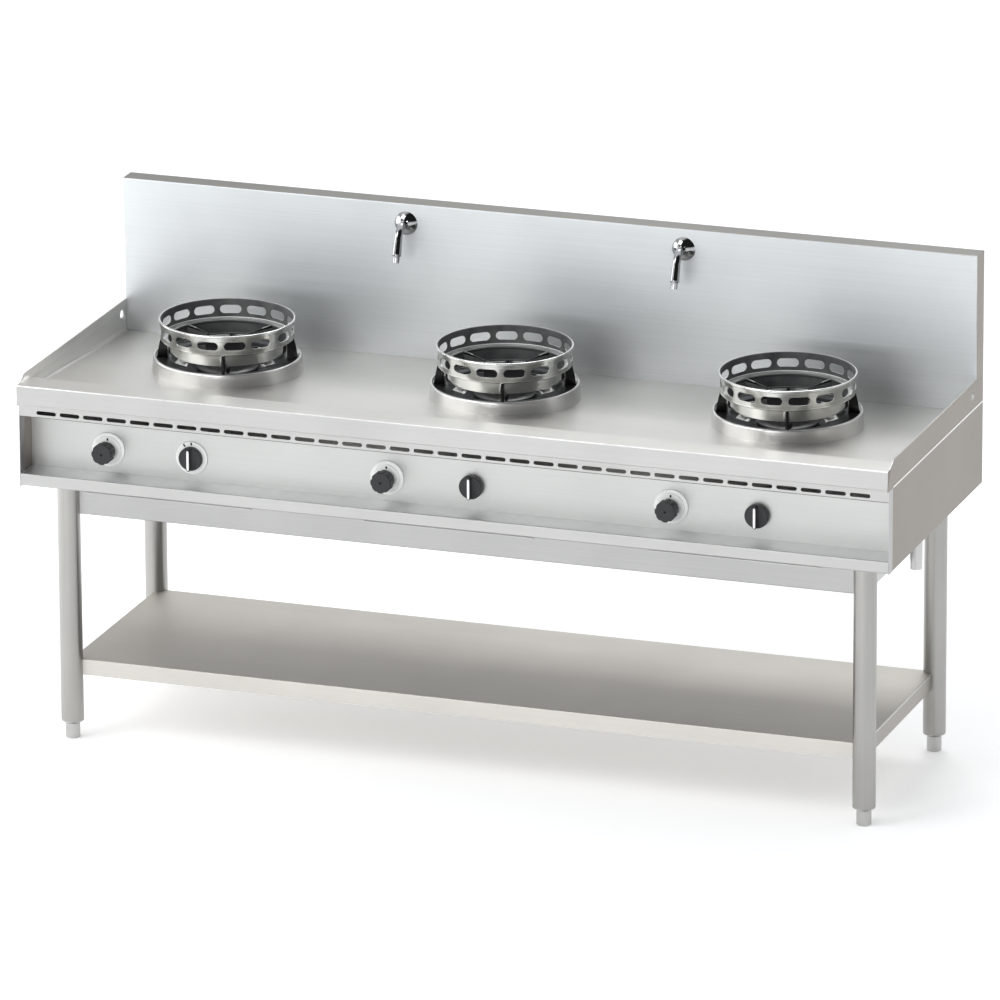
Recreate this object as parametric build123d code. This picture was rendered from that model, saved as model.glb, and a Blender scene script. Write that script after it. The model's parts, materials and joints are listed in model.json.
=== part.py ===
from build123d import *
import os
from math import cos, radians, sin, tan

# Three-burner gas wok range of folded stainless sheet on an open leg frame.
# X runs to the right, Y to the rear and Z up. The origin lies on the floor under the middle of the range.
# Sizes are in millimetres. Depths are given as distances behind the front face, heights above the floor.

# Overall
WIDTH = 2000.0
DEPTH = 705.0
WORK_HEIGHT = 837.0  # top of the front strip
SPLASH_RISE = 298.0  # splashback above the front strip
SHEET = 1.5  # folded stainless sheet
BEND = 1.5  # inner radius of a fold
TOUCH = 0.2  # gap between pieces fitted edge to edge
RUNNING = 0.08  # radial clearance of a turning or sliding pin in its hole
LOOSE = 0.6  # radial clearance of a hole that a piece passes through freely
OVERCUT = 1.0  # how far a cutter runs past the face it opens

# Worktop
FASCIA_DROP = 44.0
FASCIA_RETURN = 30.0
RIM_DEPTH = 72.0
RIM_STEP = 24.3
DECK_FALL = 0.0575  # drop of the sunk deck for each millimetre towards the rear
DECK_BEND = 8.0
DECK_TAIL = 4.0
DECK_TAIL_RISE = 20.0
UPSTAND_RISE = 15.0
UPSTAND_FLAT = 22.0
UPSTAND_SLOPE = 22.0
SIDE_FLANGE_DROP = 47.0
LINK_HOLE_RADIUS = 10.0
LINK_HOLE_FROM_REAR = 79.0
LINK_HOLE_BELOW_TOP = 28.4

# Splashback
SPLASH_THICKNESS = 51.4
SPLASH_BEND = 3.0
SPLASH_REAR_FLANGE = 25.0

# Body below the worktop
BODY_SETBACK = 11.5
STRIP_HEIGHT = 30.0
STRIP_FLANGE = 28.0
RECESS_HEIGHT = 131.4
RECESS_DEPTH = 68.0
LIP_HEIGHT = 27.4
LIP_RETURN = 98.0
FRONT_RETURN = 27.0  # side return of the front frame
PANEL_FLANGE = 15.0
SOLE_WIDTH = 112.0  # inward flange at the foot of a side panel
SOLE_BEND = 1.0
VENT_COUNT = 35
VENT_PITCH = 55.0
VENT_LENGTH = 46.0
VENT_HEIGHT = 9.0
VENT_ABOVE_RECESS = 12.0

# Leg frame
LEG_RADIUS = 25.4
LEG_WALL = 1.5
LEG_INSET = 79.0  # leg axis from the side of the range
LEG_FROM_FRONT = 99.0
LEG_FROM_REAR = 85.0
RAIL_HEIGHT = 80.2
RAIL_FLANGE = 25.0
SIDE_RAIL_FLANGE = 40.0
PAN_SHEET = 2.0
PAN_WIDTH = 390.0
PAN_FRONT = 14.0
PAN_OVERHANG = 20.0
PAN_LIP = 5.7
PAN_WALL = 22.0
SHELF_HEIGHT = 184.0
SHELF_EDGE = 36.5
SHELF_RETURN = 12.0
STIFFENER_WIDTH = 60.0
STIFFENER_HEIGHT = 22.0

# Feet
FOOT_RADIUS = 16.5
FOOT_HEIGHT = 36.0
FOOT_GAP = 3.0
FOOT_CHAMFER = 1.5
STEM_RADIUS = 6.0
STEM_LENGTH = 30.0
PLUG_RIM = 3.0
PLUG_DEPTH = 28.0
PLUG_ROUNDING = 2.0

# Burners
BURNER_FROM_SIDE = 348.0  # outer burner axes from the side of the range
BURNER_FROM_FRONT = 388.0
DECK_HOLE_CLEARANCE = 2.0
COLLAR_RISE = 37.4
COLLAR_FOOT_RADIUS = 168.0
COLLAR_DRAFT = 3.0
COLLAR_WALL = 5.0
COLLAR_FOOT_WALL = 4.0
COLLAR_ROUNDING = 4.0
COLLAR_LEDGE_DROP = 10.5
COLLAR_LEDGE_WIDTH = 12.0
COLLAR_LEDGE_SHEET = 3.0
DISH_GROOVE = 3.0
DISH_SHEET = 2.4
DISH_FLAT = 31.0
DISH_DEPTH = 24.0
DISH_THROAT_RADIUS = 60.0
DISH_LEDGE = 12.0
HEAD_CUP_RADIUS = 56.0
HEAD_FLANGE = 6.0
HEAD_FLANGE_RADIUS = 68.0
HEAD_RADIUS = 50.0
HEAD_RISE = 24.0
HEAD_CROWN = 6.0
HEAD_PORTS = 16
PORT_WIDTH = 3.0
PORT_HEIGHT = 7.0
STEM_PIPE_RADIUS = 24.0
MIXER_RADIUS = 20.0
MIXER_BORE = 15.0
MIXER_LENGTH = 126.0
BELL_RADIUS = 27.0
BELL_LENGTH = 12.0

# Wok ring
RING_BAND_RADIUS = 148.5
RING_SHEET = 2.0
RING_BEND = 1.5
RING_RISE = 89.5  # rim above the dish
RING_BEAD_RADIUS = 3.0
RING_LEDGE_RISE = 46.0
RING_WAIST_RADIUS = 131.5
RING_FOOT_RISE = 16.0
RING_FOOT_FLANGE = 7.0
SLOT_COUNT = 15
SLOT_PITCH = 23.71  # degrees
SLOT_FIRST = 51.1  # degrees round from the front towards the right
SLOT_LENGTH = 48.0
SLOT_HEIGHT = 19.0
SLOT_BELOW_RIM = 21.5
LUG_COUNT = 4
LUG_FIRST = 17.2
LUG_WIDTH = 7.0
LUG_REACH = 8.0  # outer foot of a lug beyond the band
LUG_SHOULDER = 24.0
TAB_SPAN = 16.0  # degrees
TAB_FLARE = 8.0
FIN_THICKNESS = 4.0
FIN_INNER_RADIUS = 65.0
FIN_FALL = 6.5
FIN_TIP_HEIGHT = 16.0

# Controls
KNOB_DROP = 78.0  # knob axes below the top of the recess
VALVE_OFFSET = -164.0  # gas knob from its burner
PILOT_OFFSET = 32.0  # pilot knob from its burner
BEZEL_RADIUS = 38.5
BEZEL_THICKNESS = 3.5
BEZEL_STEP_RADIUS = 31.0
BEZEL_STEP = 3.0
BEZEL_CHAMFER = 1.0
KNOB_TRAVEL = 4.0
KNOB_NECK_RADIUS = 17.0
KNOB_HEAD_START = 18.5
KNOB_HEAD_RADIUS = 23.5
KNOB_REACH = 46.0
KNOB_CHAMFER = 1.5
FLUTE_COUNT = 8
FLUTE_RADIUS = 6.0
FLUTE_DEPTH = 2.2
SPINDLE_RADIUS = 4.0
SPINDLE_REACH = 25.0
SPINDLE_DEPTH = 28.0
SCREW_HOLE_RADIUS = 2.5
SCREW_HOLE_DEPTH = 6.0
PILOT_BEZEL_RADIUS = 37.0
PILOT_BEZEL_THICKNESS = 3.0
PILOT_DISC_RADIUS = 26.5
PILOT_DISC_START = 3.5
PILOT_DISC_THICKNESS = 11.0
PILOT_DISC_ROUNDING = 2.0
PILOT_HUB_RADIUS = 12.0
PILOT_GRIP_WIDTH = 9.0
PILOT_GRIP_LENGTH = 50.0
PILOT_GRIP_REACH = 27.0
PILOT_GRIP_CHAMFER = 1.5
PILOT_SHAFT_RADIUS = 3.0
PILOT_SHAFT_DEPTH = 24.0

# Gas
NOSE_RADIUS = 10.0
NOSE_LENGTH = 4.5
VALVE_RADIUS = 15.0
VALVE_LENGTH = 34.0
PILOT_VALVE_RADIUS = 11.0
SADDLE_WIDTH = 20.0
MANIFOLD_RADIUS = 13.45
MANIFOLD_BORE = 10.8
MANIFOLD_THREAD_RADIUS = 13.2
MANIFOLD_THREAD = 20.0
MANIFOLD_BEHIND_PANEL = 21.5
MANIFOLD_DROP = 34.0
MANIFOLD_BEND = 30.0
MANIFOLD_END = 60.0  # closed end beyond the first valve
INLET_INSET = 40.0  # gas inlet from the side of the range
INLET_FROM_FRONT = 345.0
INLET_DROP = 91.2  # inlet end below the foot of the body
INLET_CLEARANCE = 2.0
FEED_RADIUS = 5.0
FEED_BEND = 20.0
FEED_RUN = 66.0
INJECTOR_RADIUS = 9.0
INJECTOR_LENGTH = 14.0
MIXER_DROP = 124.0  # mixer axis below the dish rim
PILOT_PIPE_RADIUS = 3.0
PILOT_PIPE_OFFSET = -83.0
PILOT_HOOD_RADIUS = 5.0
PILOT_HOOD_LENGTH = 10.0

# Water
TAP_FROM_SIDE = 675.0
TAP_RISE = 253.0  # spout axis above the front strip
ROSETTE_RADIUS = 27.0
ROSETTE_DEPTH = 13.0
SPOUT_RADIUS = 9.0
SPOUT_REACH = 43.4
SPOUT_BEND = 30.0
SPOUT_LEAN = 19.0  # degrees from the vertical
SPOUT_LENGTH = 62.4
SPOUT_FLARE = 1.5
SPOUT_TAIL = 14.0
NOZZLE_RADIUS = 7.5
NOZZLE_LENGTH = 15.0
NOZZLE_BORE = 5.0
SOCKET_RADIUS = 13.0
SOCKET_LENGTH = 18.0
WATER_PIPE_RADIUS = 10.65
WATER_THREAD_RADIUS = 10.4
WATER_THREAD = 16.0
WATER_BORE = 8.0
WATER_PIPE_BEND = 32.0
WATER_INLET_FROM_SIDE = 300.0
WATER_INLET_DROP = 42.0

# Bolts between the body soles and the side rails
BOLT_RADIUS = 4.0
BOLT_HOLE_RADIUS = 4.5
BOLT_HEAD_RADIUS = 7.0
BOLT_HEAD = 5.3
BOLT_NUT = 6.0
BOLT_TIP = 1.5  # bolt end below its nut
BOLT_INSET = 20.0  # from the outer face of the rail
BOLT_DEPTHS = (150.0, 450.0, 570.0)

# Heights and depths that follow from the sizes above
HEIGHT = WORK_HEIGHT + SPLASH_RISE
FASCIA_BOTTOM = WORK_HEIGHT - FASCIA_DROP
UPSTAND_TOP = WORK_HEIGHT + UPSTAND_RISE
SIDE_FLANGE_BOTTOM = WORK_HEIGHT - SIDE_FLANGE_DROP
RECESS_TOP = FASCIA_BOTTOM - STRIP_HEIGHT
LIP_TOP = RECESS_TOP - RECESS_HEIGHT
LIP_BOTTOM = LIP_TOP - LIP_HEIGHT
RAIL_TOP = LIP_BOTTOM - PAN_SHEET
RAIL_BOTTOM = RAIL_TOP - RAIL_HEIGHT
PANEL_DEPTH = BODY_SETBACK + RECESS_DEPTH
SPLASH_FRONT = DEPTH - SPLASH_THICKNESS
LEG_X = WIDTH / 2 - LEG_INSET
BURNER_SPACING = WIDTH / 2 - BURNER_FROM_SIDE
BURNERS = {"left": -BURNER_SPACING, "middle": 0.0, "right": BURNER_SPACING}
LEG_DEPTHS = {"front": LEG_FROM_FRONT, "rear": DEPTH - LEG_FROM_REAR}
LEG_BOTTOM = FOOT_HEIGHT + FOOT_GAP + PLUG_RIM
SIDES = {"left": -1, "right": 1}
KNOB_HEIGHT = RECESS_TOP - KNOB_DROP
TAP_HEIGHT = WORK_HEIGHT + TAP_RISE
TAP_X = WIDTH / 2 - TAP_FROM_SIDE
WATER_INLET_X = WATER_INLET_FROM_SIDE - WIDTH / 2


def from_front(distance):
    """Y of a plane this far behind the front face."""
    return distance - DEPTH / 2


def deck_height(distance):
    """Height of the sunk deck's surface, which falls evenly towards the rear."""
    return WORK_HEIGHT - RIM_STEP - (distance - RIM_DEPTH) * DECK_FALL


COLLAR_TOP = deck_height(BURNER_FROM_FRONT) + COLLAR_RISE
COLLAR_TOP_RADIUS = COLLAR_FOOT_RADIUS - COLLAR_DRAFT
COLLAR_INNER_RADIUS = COLLAR_TOP_RADIUS - COLLAR_WALL
COLLAR_LEDGE_TOP = COLLAR_TOP - COLLAR_LEDGE_DROP
DISH_RADIUS = COLLAR_INNER_RADIUS - DISH_GROOVE
DISH_TOP = COLLAR_LEDGE_TOP + TOUCH + DISH_SHEET
DISH_LEDGE_TOP = DISH_TOP - DISH_DEPTH
HEAD_SEAT = DISH_LEDGE_TOP + TOUCH
MIXER_HEIGHT = DISH_TOP - MIXER_DROP
MIXER_FRONT = BURNER_FROM_FRONT - MIXER_LENGTH
RING_SEAT = DISH_TOP + TOUCH
RING_RIM = DISH_TOP + RING_RISE
RING_LEDGE = DISH_TOP + RING_LEDGE_RISE
RING_FOOT = DISH_TOP + RING_FOOT_RISE


# Shapes that several pieces share


def rounded_outline(points, radii):
    """Face inside a closed outline whose corners are rounded, each by its own radius; 0 stays sharp."""
    corners = []
    for index, (point, radius) in enumerate(zip(points, radii)):
        here = Vector(*point)
        back = (Vector(*points[index - 1]) - here).normalized()
        ahead = (Vector(*points[(index + 1) % len(points)]) - here).normalized()
        half_angle = radians(back.get_angle(ahead)) / 2
        run = radius / tan(half_angle)
        inset = radius / sin(half_angle) - radius
        middle = here + (back + ahead).normalized() * inset
        corners.append((here + back * run, middle, here + ahead * run, radius))
    edges = []
    for index, (start, middle, end, radius) in enumerate(corners):
        edges.append(Line(corners[index - 1][2], start))
        if radius > 0:
            edges.append(ThreePointArc(start, middle, end))
    return make_face(edges)


def sharp_outline(points):
    """Face inside a closed outline with sharp corners."""
    return make_face(Polyline(*points, close=True))


def folded_section(points, thickness=SHEET, bend=BEND):
    """Section of a folded sheet. The points lie on one face, with the metal on their left."""
    path = [Vector(*point) for point in points]
    directions = [(b - a).normalized() for a, b in zip(path, path[1:])]
    normals = [Vector(-d.Y, d.X) for d in directions]
    turns = [a.X * b.Y - a.Y * b.X for a, b in zip(directions, directions[1:])]
    far_side = [path[0] + normals[0] * thickness]
    for corner, before, after in zip(path[1:], normals, normals[1:]):
        middle = before + after
        far_side.append(corner + middle * (2 * thickness / middle.dot(middle)))
    far_side.append(path[-1] + normals[-1] * thickness)
    near_radii = [bend + thickness if turn > 0 else bend for turn in turns]
    far_radii = [bend if turn > 0 else bend + thickness for turn in turns]
    outline = path + far_side[::-1]
    radii = [0, *near_radii, 0, 0, *far_radii[::-1], 0]
    return rounded_outline([(p.X, p.Y) for p in outline], radii)


def along_x(section, length):
    """Solid of a section drawn in Y and Z, as long as length and centred on the middle of the range."""
    return extrude(Plane.YZ * section, amount=length / 2, both=True)


def along_y(section, start, end):
    """Solid of a section drawn in X and Z, between two distances behind the front face."""
    return Pos(0, from_front(start), 0) * extrude(Plane.XZ * section, amount=end - start, dir=(0, 1, 0))


def turned(section):
    """Solid of a section drawn in radius and height, turned about Z."""
    return revolve(Plane.XZ * section, axis=Axis.Z)


def block(x_range, y_range, z_range):
    """Box between two limits on each axis."""
    ranges = (x_range, y_range, z_range)
    centre = [(low + high) / 2 for low, high in ranges]
    sizes = [high - low for low, high in ranges]
    return Pos(*centre) * Box(*sizes)


def post(radius, bottom, top):
    """Cylinder on the Z axis between two heights."""
    return Pos(0, 0, (bottom + top) / 2) * Cylinder(radius, top - bottom)


def leg_clearance():
    """The space that the four leg tubes take, with the gap round them."""
    round_a_leg = post(LEG_RADIUS + TOUCH, 0, RAIL_TOP + SHEET)
    pieces = []
    for depth in LEG_DEPTHS.values():
        for side in SIDES.values():
            pieces.append(Pos(side * LEG_X, from_front(depth), 0) * round_a_leg)
    return pieces


def mirrored(shape, side):
    """The right-hand piece for side 1, or its mirror image for side -1."""
    return shape if side > 0 else mirror(shape, about=Plane.YZ)


def on_panel(x, shape):
    """A turned piece placed on the control panel, its +Z towards the cook."""
    return Pos(x, from_front(PANEL_DEPTH), KNOB_HEIGHT) * Rot(90, 0, 0) * shape


def at_burner(x, shape):
    """A piece drawn round the Z axis, moved to a burner."""
    return Pos(x, from_front(BURNER_FROM_FRONT), 0) * shape


def pipe(points, radius, bend):
    """Round bar along straight runs joined by bends."""
    path = FilletPolyline(*points, radius=bend)
    start = Plane(origin=path @ 0, z_dir=path % 0)
    return sweep(start * Circle(radius), path=path)


def save(name, shape):
    """Write one piece, or one group of equal pieces, to its own file."""
    export_step(shape, f"parts/{name}.step")


# Worktop and splashback


def deck_cove():
    """Rounded corner between the deck and the right upstand, from the raised strip to the deck's tail."""
    wall = WIDTH / 2 - 2 * SHEET
    floor = deck_height(RIM_DEPTH)
    half_sheet = SHEET / 2
    middle = DECK_BEND * (1 - cos(radians(45)))
    edges = [
        ThreePointArc((wall - DECK_BEND, floor), (wall - middle, floor + middle), (wall, floor + DECK_BEND)),
        Polyline(
            (wall, floor + DECK_BEND),
            (wall + half_sheet, floor + DECK_BEND),
            (wall + half_sheet, floor - half_sheet),
            (wall - DECK_BEND, floor - half_sheet),
            (wall - DECK_BEND, floor),
        ),
    ]
    section = Pos(0, from_front(RIM_DEPTH), 0) * (Plane.XZ * make_face(edges))
    length = SPLASH_FRONT + DECK_TAIL + SHEET / 2 - RIM_DEPTH
    down_the_slope = Vector(0, 1, -DECK_FALL)
    return extrude(section, amount=length * down_the_slope.length, dir=down_the_slope)


def make_worktop():
    """Folded tray: fascia, raised front strip, deck falling to the rear, and a doubled upstand each side."""
    tail = SPLASH_FRONT + DECK_TAIL
    deck_section = folded_section(
        [
            (from_front(tail), deck_height(tail) + DECK_TAIL_RISE),
            (from_front(tail), deck_height(tail)),
            (from_front(RIM_DEPTH), deck_height(RIM_DEPTH)),
            (from_front(RIM_DEPTH), WORK_HEIGHT),
            (from_front(0), WORK_HEIGHT),
            (from_front(0), FASCIA_BOTTOM),
            (from_front(FASCIA_RETURN), FASCIA_BOTTOM),
        ]
    )
    worktop = along_x(deck_section, WIDTH - 2 * SHEET)
    outer = rounded_outline(
        [
            (from_front(0), SIDE_FLANGE_BOTTOM),
            (from_front(0), WORK_HEIGHT),
            (from_front(UPSTAND_FLAT), WORK_HEIGHT),
            (from_front(UPSTAND_FLAT + UPSTAND_SLOPE), UPSTAND_TOP),
            (from_front(DEPTH), UPSTAND_TOP),
            (from_front(DEPTH), SIDE_FLANGE_BOTTOM),
        ],
        [0, BEND + SHEET, 0, 0, 0, 0],
    )
    half_sheet = SHEET / 2
    inner_end = DEPTH - SHEET - TOUCH
    inner = sharp_outline(
        [
            (from_front(UPSTAND_FLAT), WORK_HEIGHT - half_sheet),
            (from_front(UPSTAND_FLAT), WORK_HEIGHT),
            (from_front(UPSTAND_FLAT + UPSTAND_SLOPE), UPSTAND_TOP),
            (from_front(inner_end), UPSTAND_TOP),
            (from_front(inner_end), deck_height(inner_end) - half_sheet),
            (from_front(RIM_DEPTH - half_sheet), deck_height(RIM_DEPTH) - half_sheet),
            (from_front(RIM_DEPTH - half_sheet), WORK_HEIGHT - half_sheet),
        ]
    )
    for side in SIDES.values():
        worktop += Pos(side * (WIDTH / 2 - SHEET / 2), 0, 0) * along_x(outer, SHEET)
        worktop += Pos(side * (WIDTH / 2 - SHEET * 3 / 2), 0, 0) * along_x(inner, SHEET)
        worktop += mirrored(deck_cove(), side)
    hole_radius = COLLAR_FOOT_RADIUS - COLLAR_FOOT_WALL - DECK_HOLE_CLEARANCE
    for x in BURNERS.values():
        worktop -= at_burner(x, post(hole_radius, FASCIA_BOTTOM - FASCIA_DROP, UPSTAND_TOP))
    link_hole = Rot(0, 90, 0) * Cylinder(LINK_HOLE_RADIUS, WIDTH + 2 * OVERCUT)
    hole_y = from_front(DEPTH - LINK_HOLE_FROM_REAR)
    return worktop - Pos(0, hole_y, UPSTAND_TOP - LINK_HOLE_BELOW_TOP) * link_hole


def make_splashback():
    """Folded skin: front, top, ends and a flange down the rear, with a skirt between the upstands."""
    half = WIDTH / 2
    front = from_front(SPLASH_FRONT)
    rear = from_front(DEPTH)
    bottom = UPSTAND_TOP + TOUCH
    skin = block((-half, half), (front, rear), (bottom, HEIGHT))
    top_edges = skin.edges().filter_by(Axis.X).group_by(Axis.Z)[-1]
    end_edges = skin.edges().filter_by(Axis.Z).group_by(Axis.Y)[0]
    skin = fillet(top_edges + end_edges, SPLASH_BEND)
    inside = (-half + SHEET, half - SHEET)
    skin -= block(inside, (front + SHEET, rear - SHEET), (bottom - SHEET, HEIGHT - SHEET))
    skin -= block(inside, (front + SHEET, rear + SHEET), (bottom - SHEET, HEIGHT - SPLASH_REAR_FLANGE))
    wall = half - 2 * SHEET - TOUCH
    skirt_bottom = deck_height(SPLASH_FRONT) + TOUCH
    skirt = rounded_outline(
        [(-wall, skirt_bottom), (wall, skirt_bottom), (wall, bottom + SHEET), (-wall, bottom + SHEET)],
        [DECK_BEND + TOUCH, DECK_BEND + TOUCH, 0, 0],
    )
    skin += along_y(skirt, SPLASH_FRONT, SPLASH_FRONT + SHEET)
    for side in SIDES.values():
        hole = Rot(90, 0, 0) * Cylinder(SPOUT_RADIUS + LOOSE, 4 * SHEET)
        skin -= Pos(side * TAP_X, front, TAP_HEIGHT) * hole
    return skin


def make_splashback_rear_cover():
    """Flat sheet that closes the rear of the splashback, down to the body's rear panel."""
    wall = WIDTH / 2 - 2 * SHEET - TOUCH
    rear = from_front(DEPTH)
    top = HEIGHT - SPLASH_REAR_FLANGE - TOUCH
    return block((-wall, wall), (rear - SHEET, rear), (SIDE_FLANGE_BOTTOM, top))


# Body


def make_side_panel(side):
    """Upright sheet with a wide sole that rests on the leg frame and a narrow flange at the rear."""
    edge = WIDTH / 2
    top = SIDE_FLANGE_BOTTOM - TOUCH
    points = [(edge - SOLE_WIDTH, RAIL_TOP), (edge, RAIL_TOP), (edge, top)]
    section = folded_section(points, SHEET, SOLE_BEND)
    start = BODY_SETBACK + FRONT_RETURN + TOUCH
    panel = along_y(section, start, DEPTH)
    rear = from_front(DEPTH)
    flange_x = (edge - PANEL_FLANGE, edge - SHEET / 2)
    panel += block(flange_x, (rear - SHEET, rear), (RAIL_TOP + SHEET / 2, top))
    through_sole = (RAIL_TOP - SHEET, RAIL_TOP + 2 * SHEET)
    for depth in BOLT_DEPTHS:
        panel -= Pos(LEG_X - BOLT_INSET, from_front(depth), 0) * post(BOLT_HOLE_RADIUS, *through_sole)
    if side > 0:
        inlet = Pos(edge - INLET_INSET, from_front(INLET_FROM_FRONT), 0)
        panel -= inlet * post(MANIFOLD_RADIUS + INLET_CLEARANCE, *through_sole)
    return mirrored(panel, side)


def make_front_frame():
    """Strip with a row of vent slots, folded back over the recess, and a return down each side."""
    section = folded_section(
        [
            (from_front(BODY_SETBACK + STRIP_FLANGE), FASCIA_BOTTOM),
            (from_front(BODY_SETBACK), FASCIA_BOTTOM),
            (from_front(BODY_SETBACK), RECESS_TOP),
            (from_front(PANEL_DEPTH - TOUCH), RECESS_TOP),
        ]
    )
    frame = along_x(section, WIDTH - 2 * SHEET)
    half = WIDTH / 2
    front = from_front(BODY_SETBACK)
    for side in SIDES.values():
        ends = sorted((side * half, side * (half - SHEET)))
        frame += block(ends, (front, front + FRONT_RETURN), (RAIL_TOP, SIDE_FLANGE_BOTTOM - TOUCH))
    vent = Rot(90, 0, 0) * extrude(SlotOverall(VENT_LENGTH, VENT_HEIGHT), amount=SHEET, both=True)
    first = -(VENT_COUNT - 1) / 2 * VENT_PITCH
    vents = [
        Pos(first + index * VENT_PITCH, front + SHEET / 2, RECESS_TOP + VENT_ABOVE_RECESS) * vent
        for index in range(VENT_COUNT)
    ]
    return frame - vents


def make_control_panel():
    """Upright sheet at the back of the recess, with a hole for each valve nose."""
    section = folded_section(
        [
            (from_front(PANEL_DEPTH + PANEL_FLANGE), RECESS_TOP + PANEL_FLANGE),
            (from_front(PANEL_DEPTH), RECESS_TOP + PANEL_FLANGE),
            (from_front(PANEL_DEPTH), LIP_TOP - PANEL_FLANGE),
            (from_front(PANEL_DEPTH + PANEL_FLANGE), LIP_TOP - PANEL_FLANGE),
        ]
    )
    panel = along_x(section, WIDTH - 2 * SHEET - 2 * TOUCH)
    for burner_x in BURNERS.values():
        for offset in (VALVE_OFFSET, PILOT_OFFSET):
            panel -= on_panel(burner_x + offset, Cylinder(NOSE_RADIUS + TOUCH, 4 * SHEET))
    return panel


def make_front_lip():
    """Channel below the recess: level top back to the panel, front face, and a return over the leg frame."""
    section = folded_section(
        [
            (from_front(PANEL_DEPTH - TOUCH), LIP_TOP),
            (from_front(BODY_SETBACK), LIP_TOP),
            (from_front(BODY_SETBACK), LIP_BOTTOM),
            (from_front(BODY_SETBACK + LIP_RETURN), LIP_BOTTOM),
        ]
    )
    return along_x(section, WIDTH - 2 * SHEET - 2 * TOUCH)


def make_rear_panel():
    """Sheet that closes the rear of the body between the side panels' flanges."""
    rear = from_front(DEPTH)
    bottom = RAIL_TOP + SHEET + TOUCH
    top = SIDE_FLANGE_BOTTOM - TOUCH
    section = folded_section(
        [(rear - PANEL_FLANGE, bottom), (rear, bottom), (rear, top), (rear - PANEL_FLANGE, top)]
    )
    return along_x(section, WIDTH - 2 * PANEL_FLANGE - 2 * TOUCH)


# Leg frame and shelf


def make_long_rail(depth, inward):
    """Channel between two legs along the front or the rear; inward is the sign of Y towards its flanges."""
    web = from_front(depth)
    back = web + inward * RAIL_FLANGE
    points = [(back, RAIL_TOP), (web, RAIL_TOP), (web, RAIL_BOTTOM), (back, RAIL_BOTTOM)]
    section = folded_section(points if inward > 0 else points[::-1])
    return along_x(section, 2 * LEG_X) - leg_clearance()


def make_side_rail(side):
    """Channel between the front and rear legs, its flanges turned in under the body."""
    web = LEG_X
    inner = web - SIDE_RAIL_FLANGE
    section = folded_section([(inner, RAIL_BOTTOM), (web, RAIL_BOTTOM), (web, RAIL_TOP), (inner, RAIL_TOP)])
    start = LEG_DEPTHS["front"] + RAIL_FLANGE + TOUCH
    end = LEG_DEPTHS["rear"] - RAIL_FLANGE - TOUCH
    rail = along_y(section, start, end) - leg_clearance()
    bolt_hole = post(BOLT_HOLE_RADIUS, RAIL_TOP - 2 * SHEET, RAIL_TOP + SHEET)
    for depth in BOLT_DEPTHS:
        rail -= Pos(web - BOLT_INSET, from_front(depth), 0) * bolt_hole
    return mirrored(rail, side)


def make_leg():
    """Round tube from its plug up to the body."""
    bore = post(LEG_RADIUS - LEG_WALL, LEG_BOTTOM - OVERCUT, RAIL_TOP + OVERCUT)
    return post(LEG_RADIUS, LEG_BOTTOM, RAIL_TOP) - bore


def make_leg_plug():
    """Plug pressed into the tube's end, with a hole for the foot's stem."""
    rim = post(LEG_RADIUS, LEG_BOTTOM - PLUG_RIM, LEG_BOTTOM)
    rim = fillet(rim.edges().group_by(Axis.Z)[0], PLUG_ROUNDING)
    body = post(LEG_RADIUS - LEG_WALL - TOUCH / 2, LEG_BOTTOM, LEG_BOTTOM + PLUG_DEPTH)
    return rim + body - post(STEM_RADIUS + RUNNING, LEG_BOTTOM - 2 * PLUG_RIM, LEG_BOTTOM + 2 * PLUG_DEPTH)


def make_foot():
    """Round foot on a stem that screws into the plug."""
    foot = post(FOOT_RADIUS, 0, FOOT_HEIGHT)
    foot = chamfer(foot.edges().filter_by(GeomType.CIRCLE), FOOT_CHAMFER)
    return foot + post(STEM_RADIUS, FOOT_HEIGHT - FOOT_CHAMFER, FOOT_HEIGHT + STEM_LENGTH)


def make_undershelf():
    """Tray turned upside down, notched round the legs, with two hat-shaped stiffeners under it."""
    front = from_front(LEG_DEPTHS["front"])
    rear = from_front(LEG_DEPTHS["rear"])
    bottom = SHELF_HEIGHT - SHELF_EDGE
    shelf = block((-LEG_X, LEG_X), (front, rear), (bottom, SHELF_HEIGHT))
    shelf = fillet(shelf.edges().group_by(Axis.Z)[-1], BEND + SHEET)
    inside_x = (-LEG_X + SHEET, LEG_X - SHEET)
    shelf -= block(inside_x, (front + SHEET, rear - SHEET), (bottom + SHEET, SHELF_HEIGHT - SHEET))
    opening_x = (-LEG_X + SHELF_RETURN, LEG_X - SHELF_RETURN)
    opening_y = (front + SHELF_RETURN, rear - SHELF_RETURN)
    shelf -= block(opening_x, opening_y, (bottom - SHEET, bottom + 2 * SHEET))
    underside = SHELF_HEIGHT - SHEET
    hat_bottom = underside - STIFFENER_HEIGHT
    half = STIFFENER_WIDTH / 2
    hat = folded_section([(-half, underside), (-half, hat_bottom), (half, hat_bottom), (half, underside)])
    for share in (1 / 3, 2 / 3):
        middle = front + (rear - front) * share
        shelf += Pos(0, middle, 0) * along_x(hat, 2 * (LEG_X - LEG_RADIUS - SHELF_RETURN))
    return shelf - leg_clearance()


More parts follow.
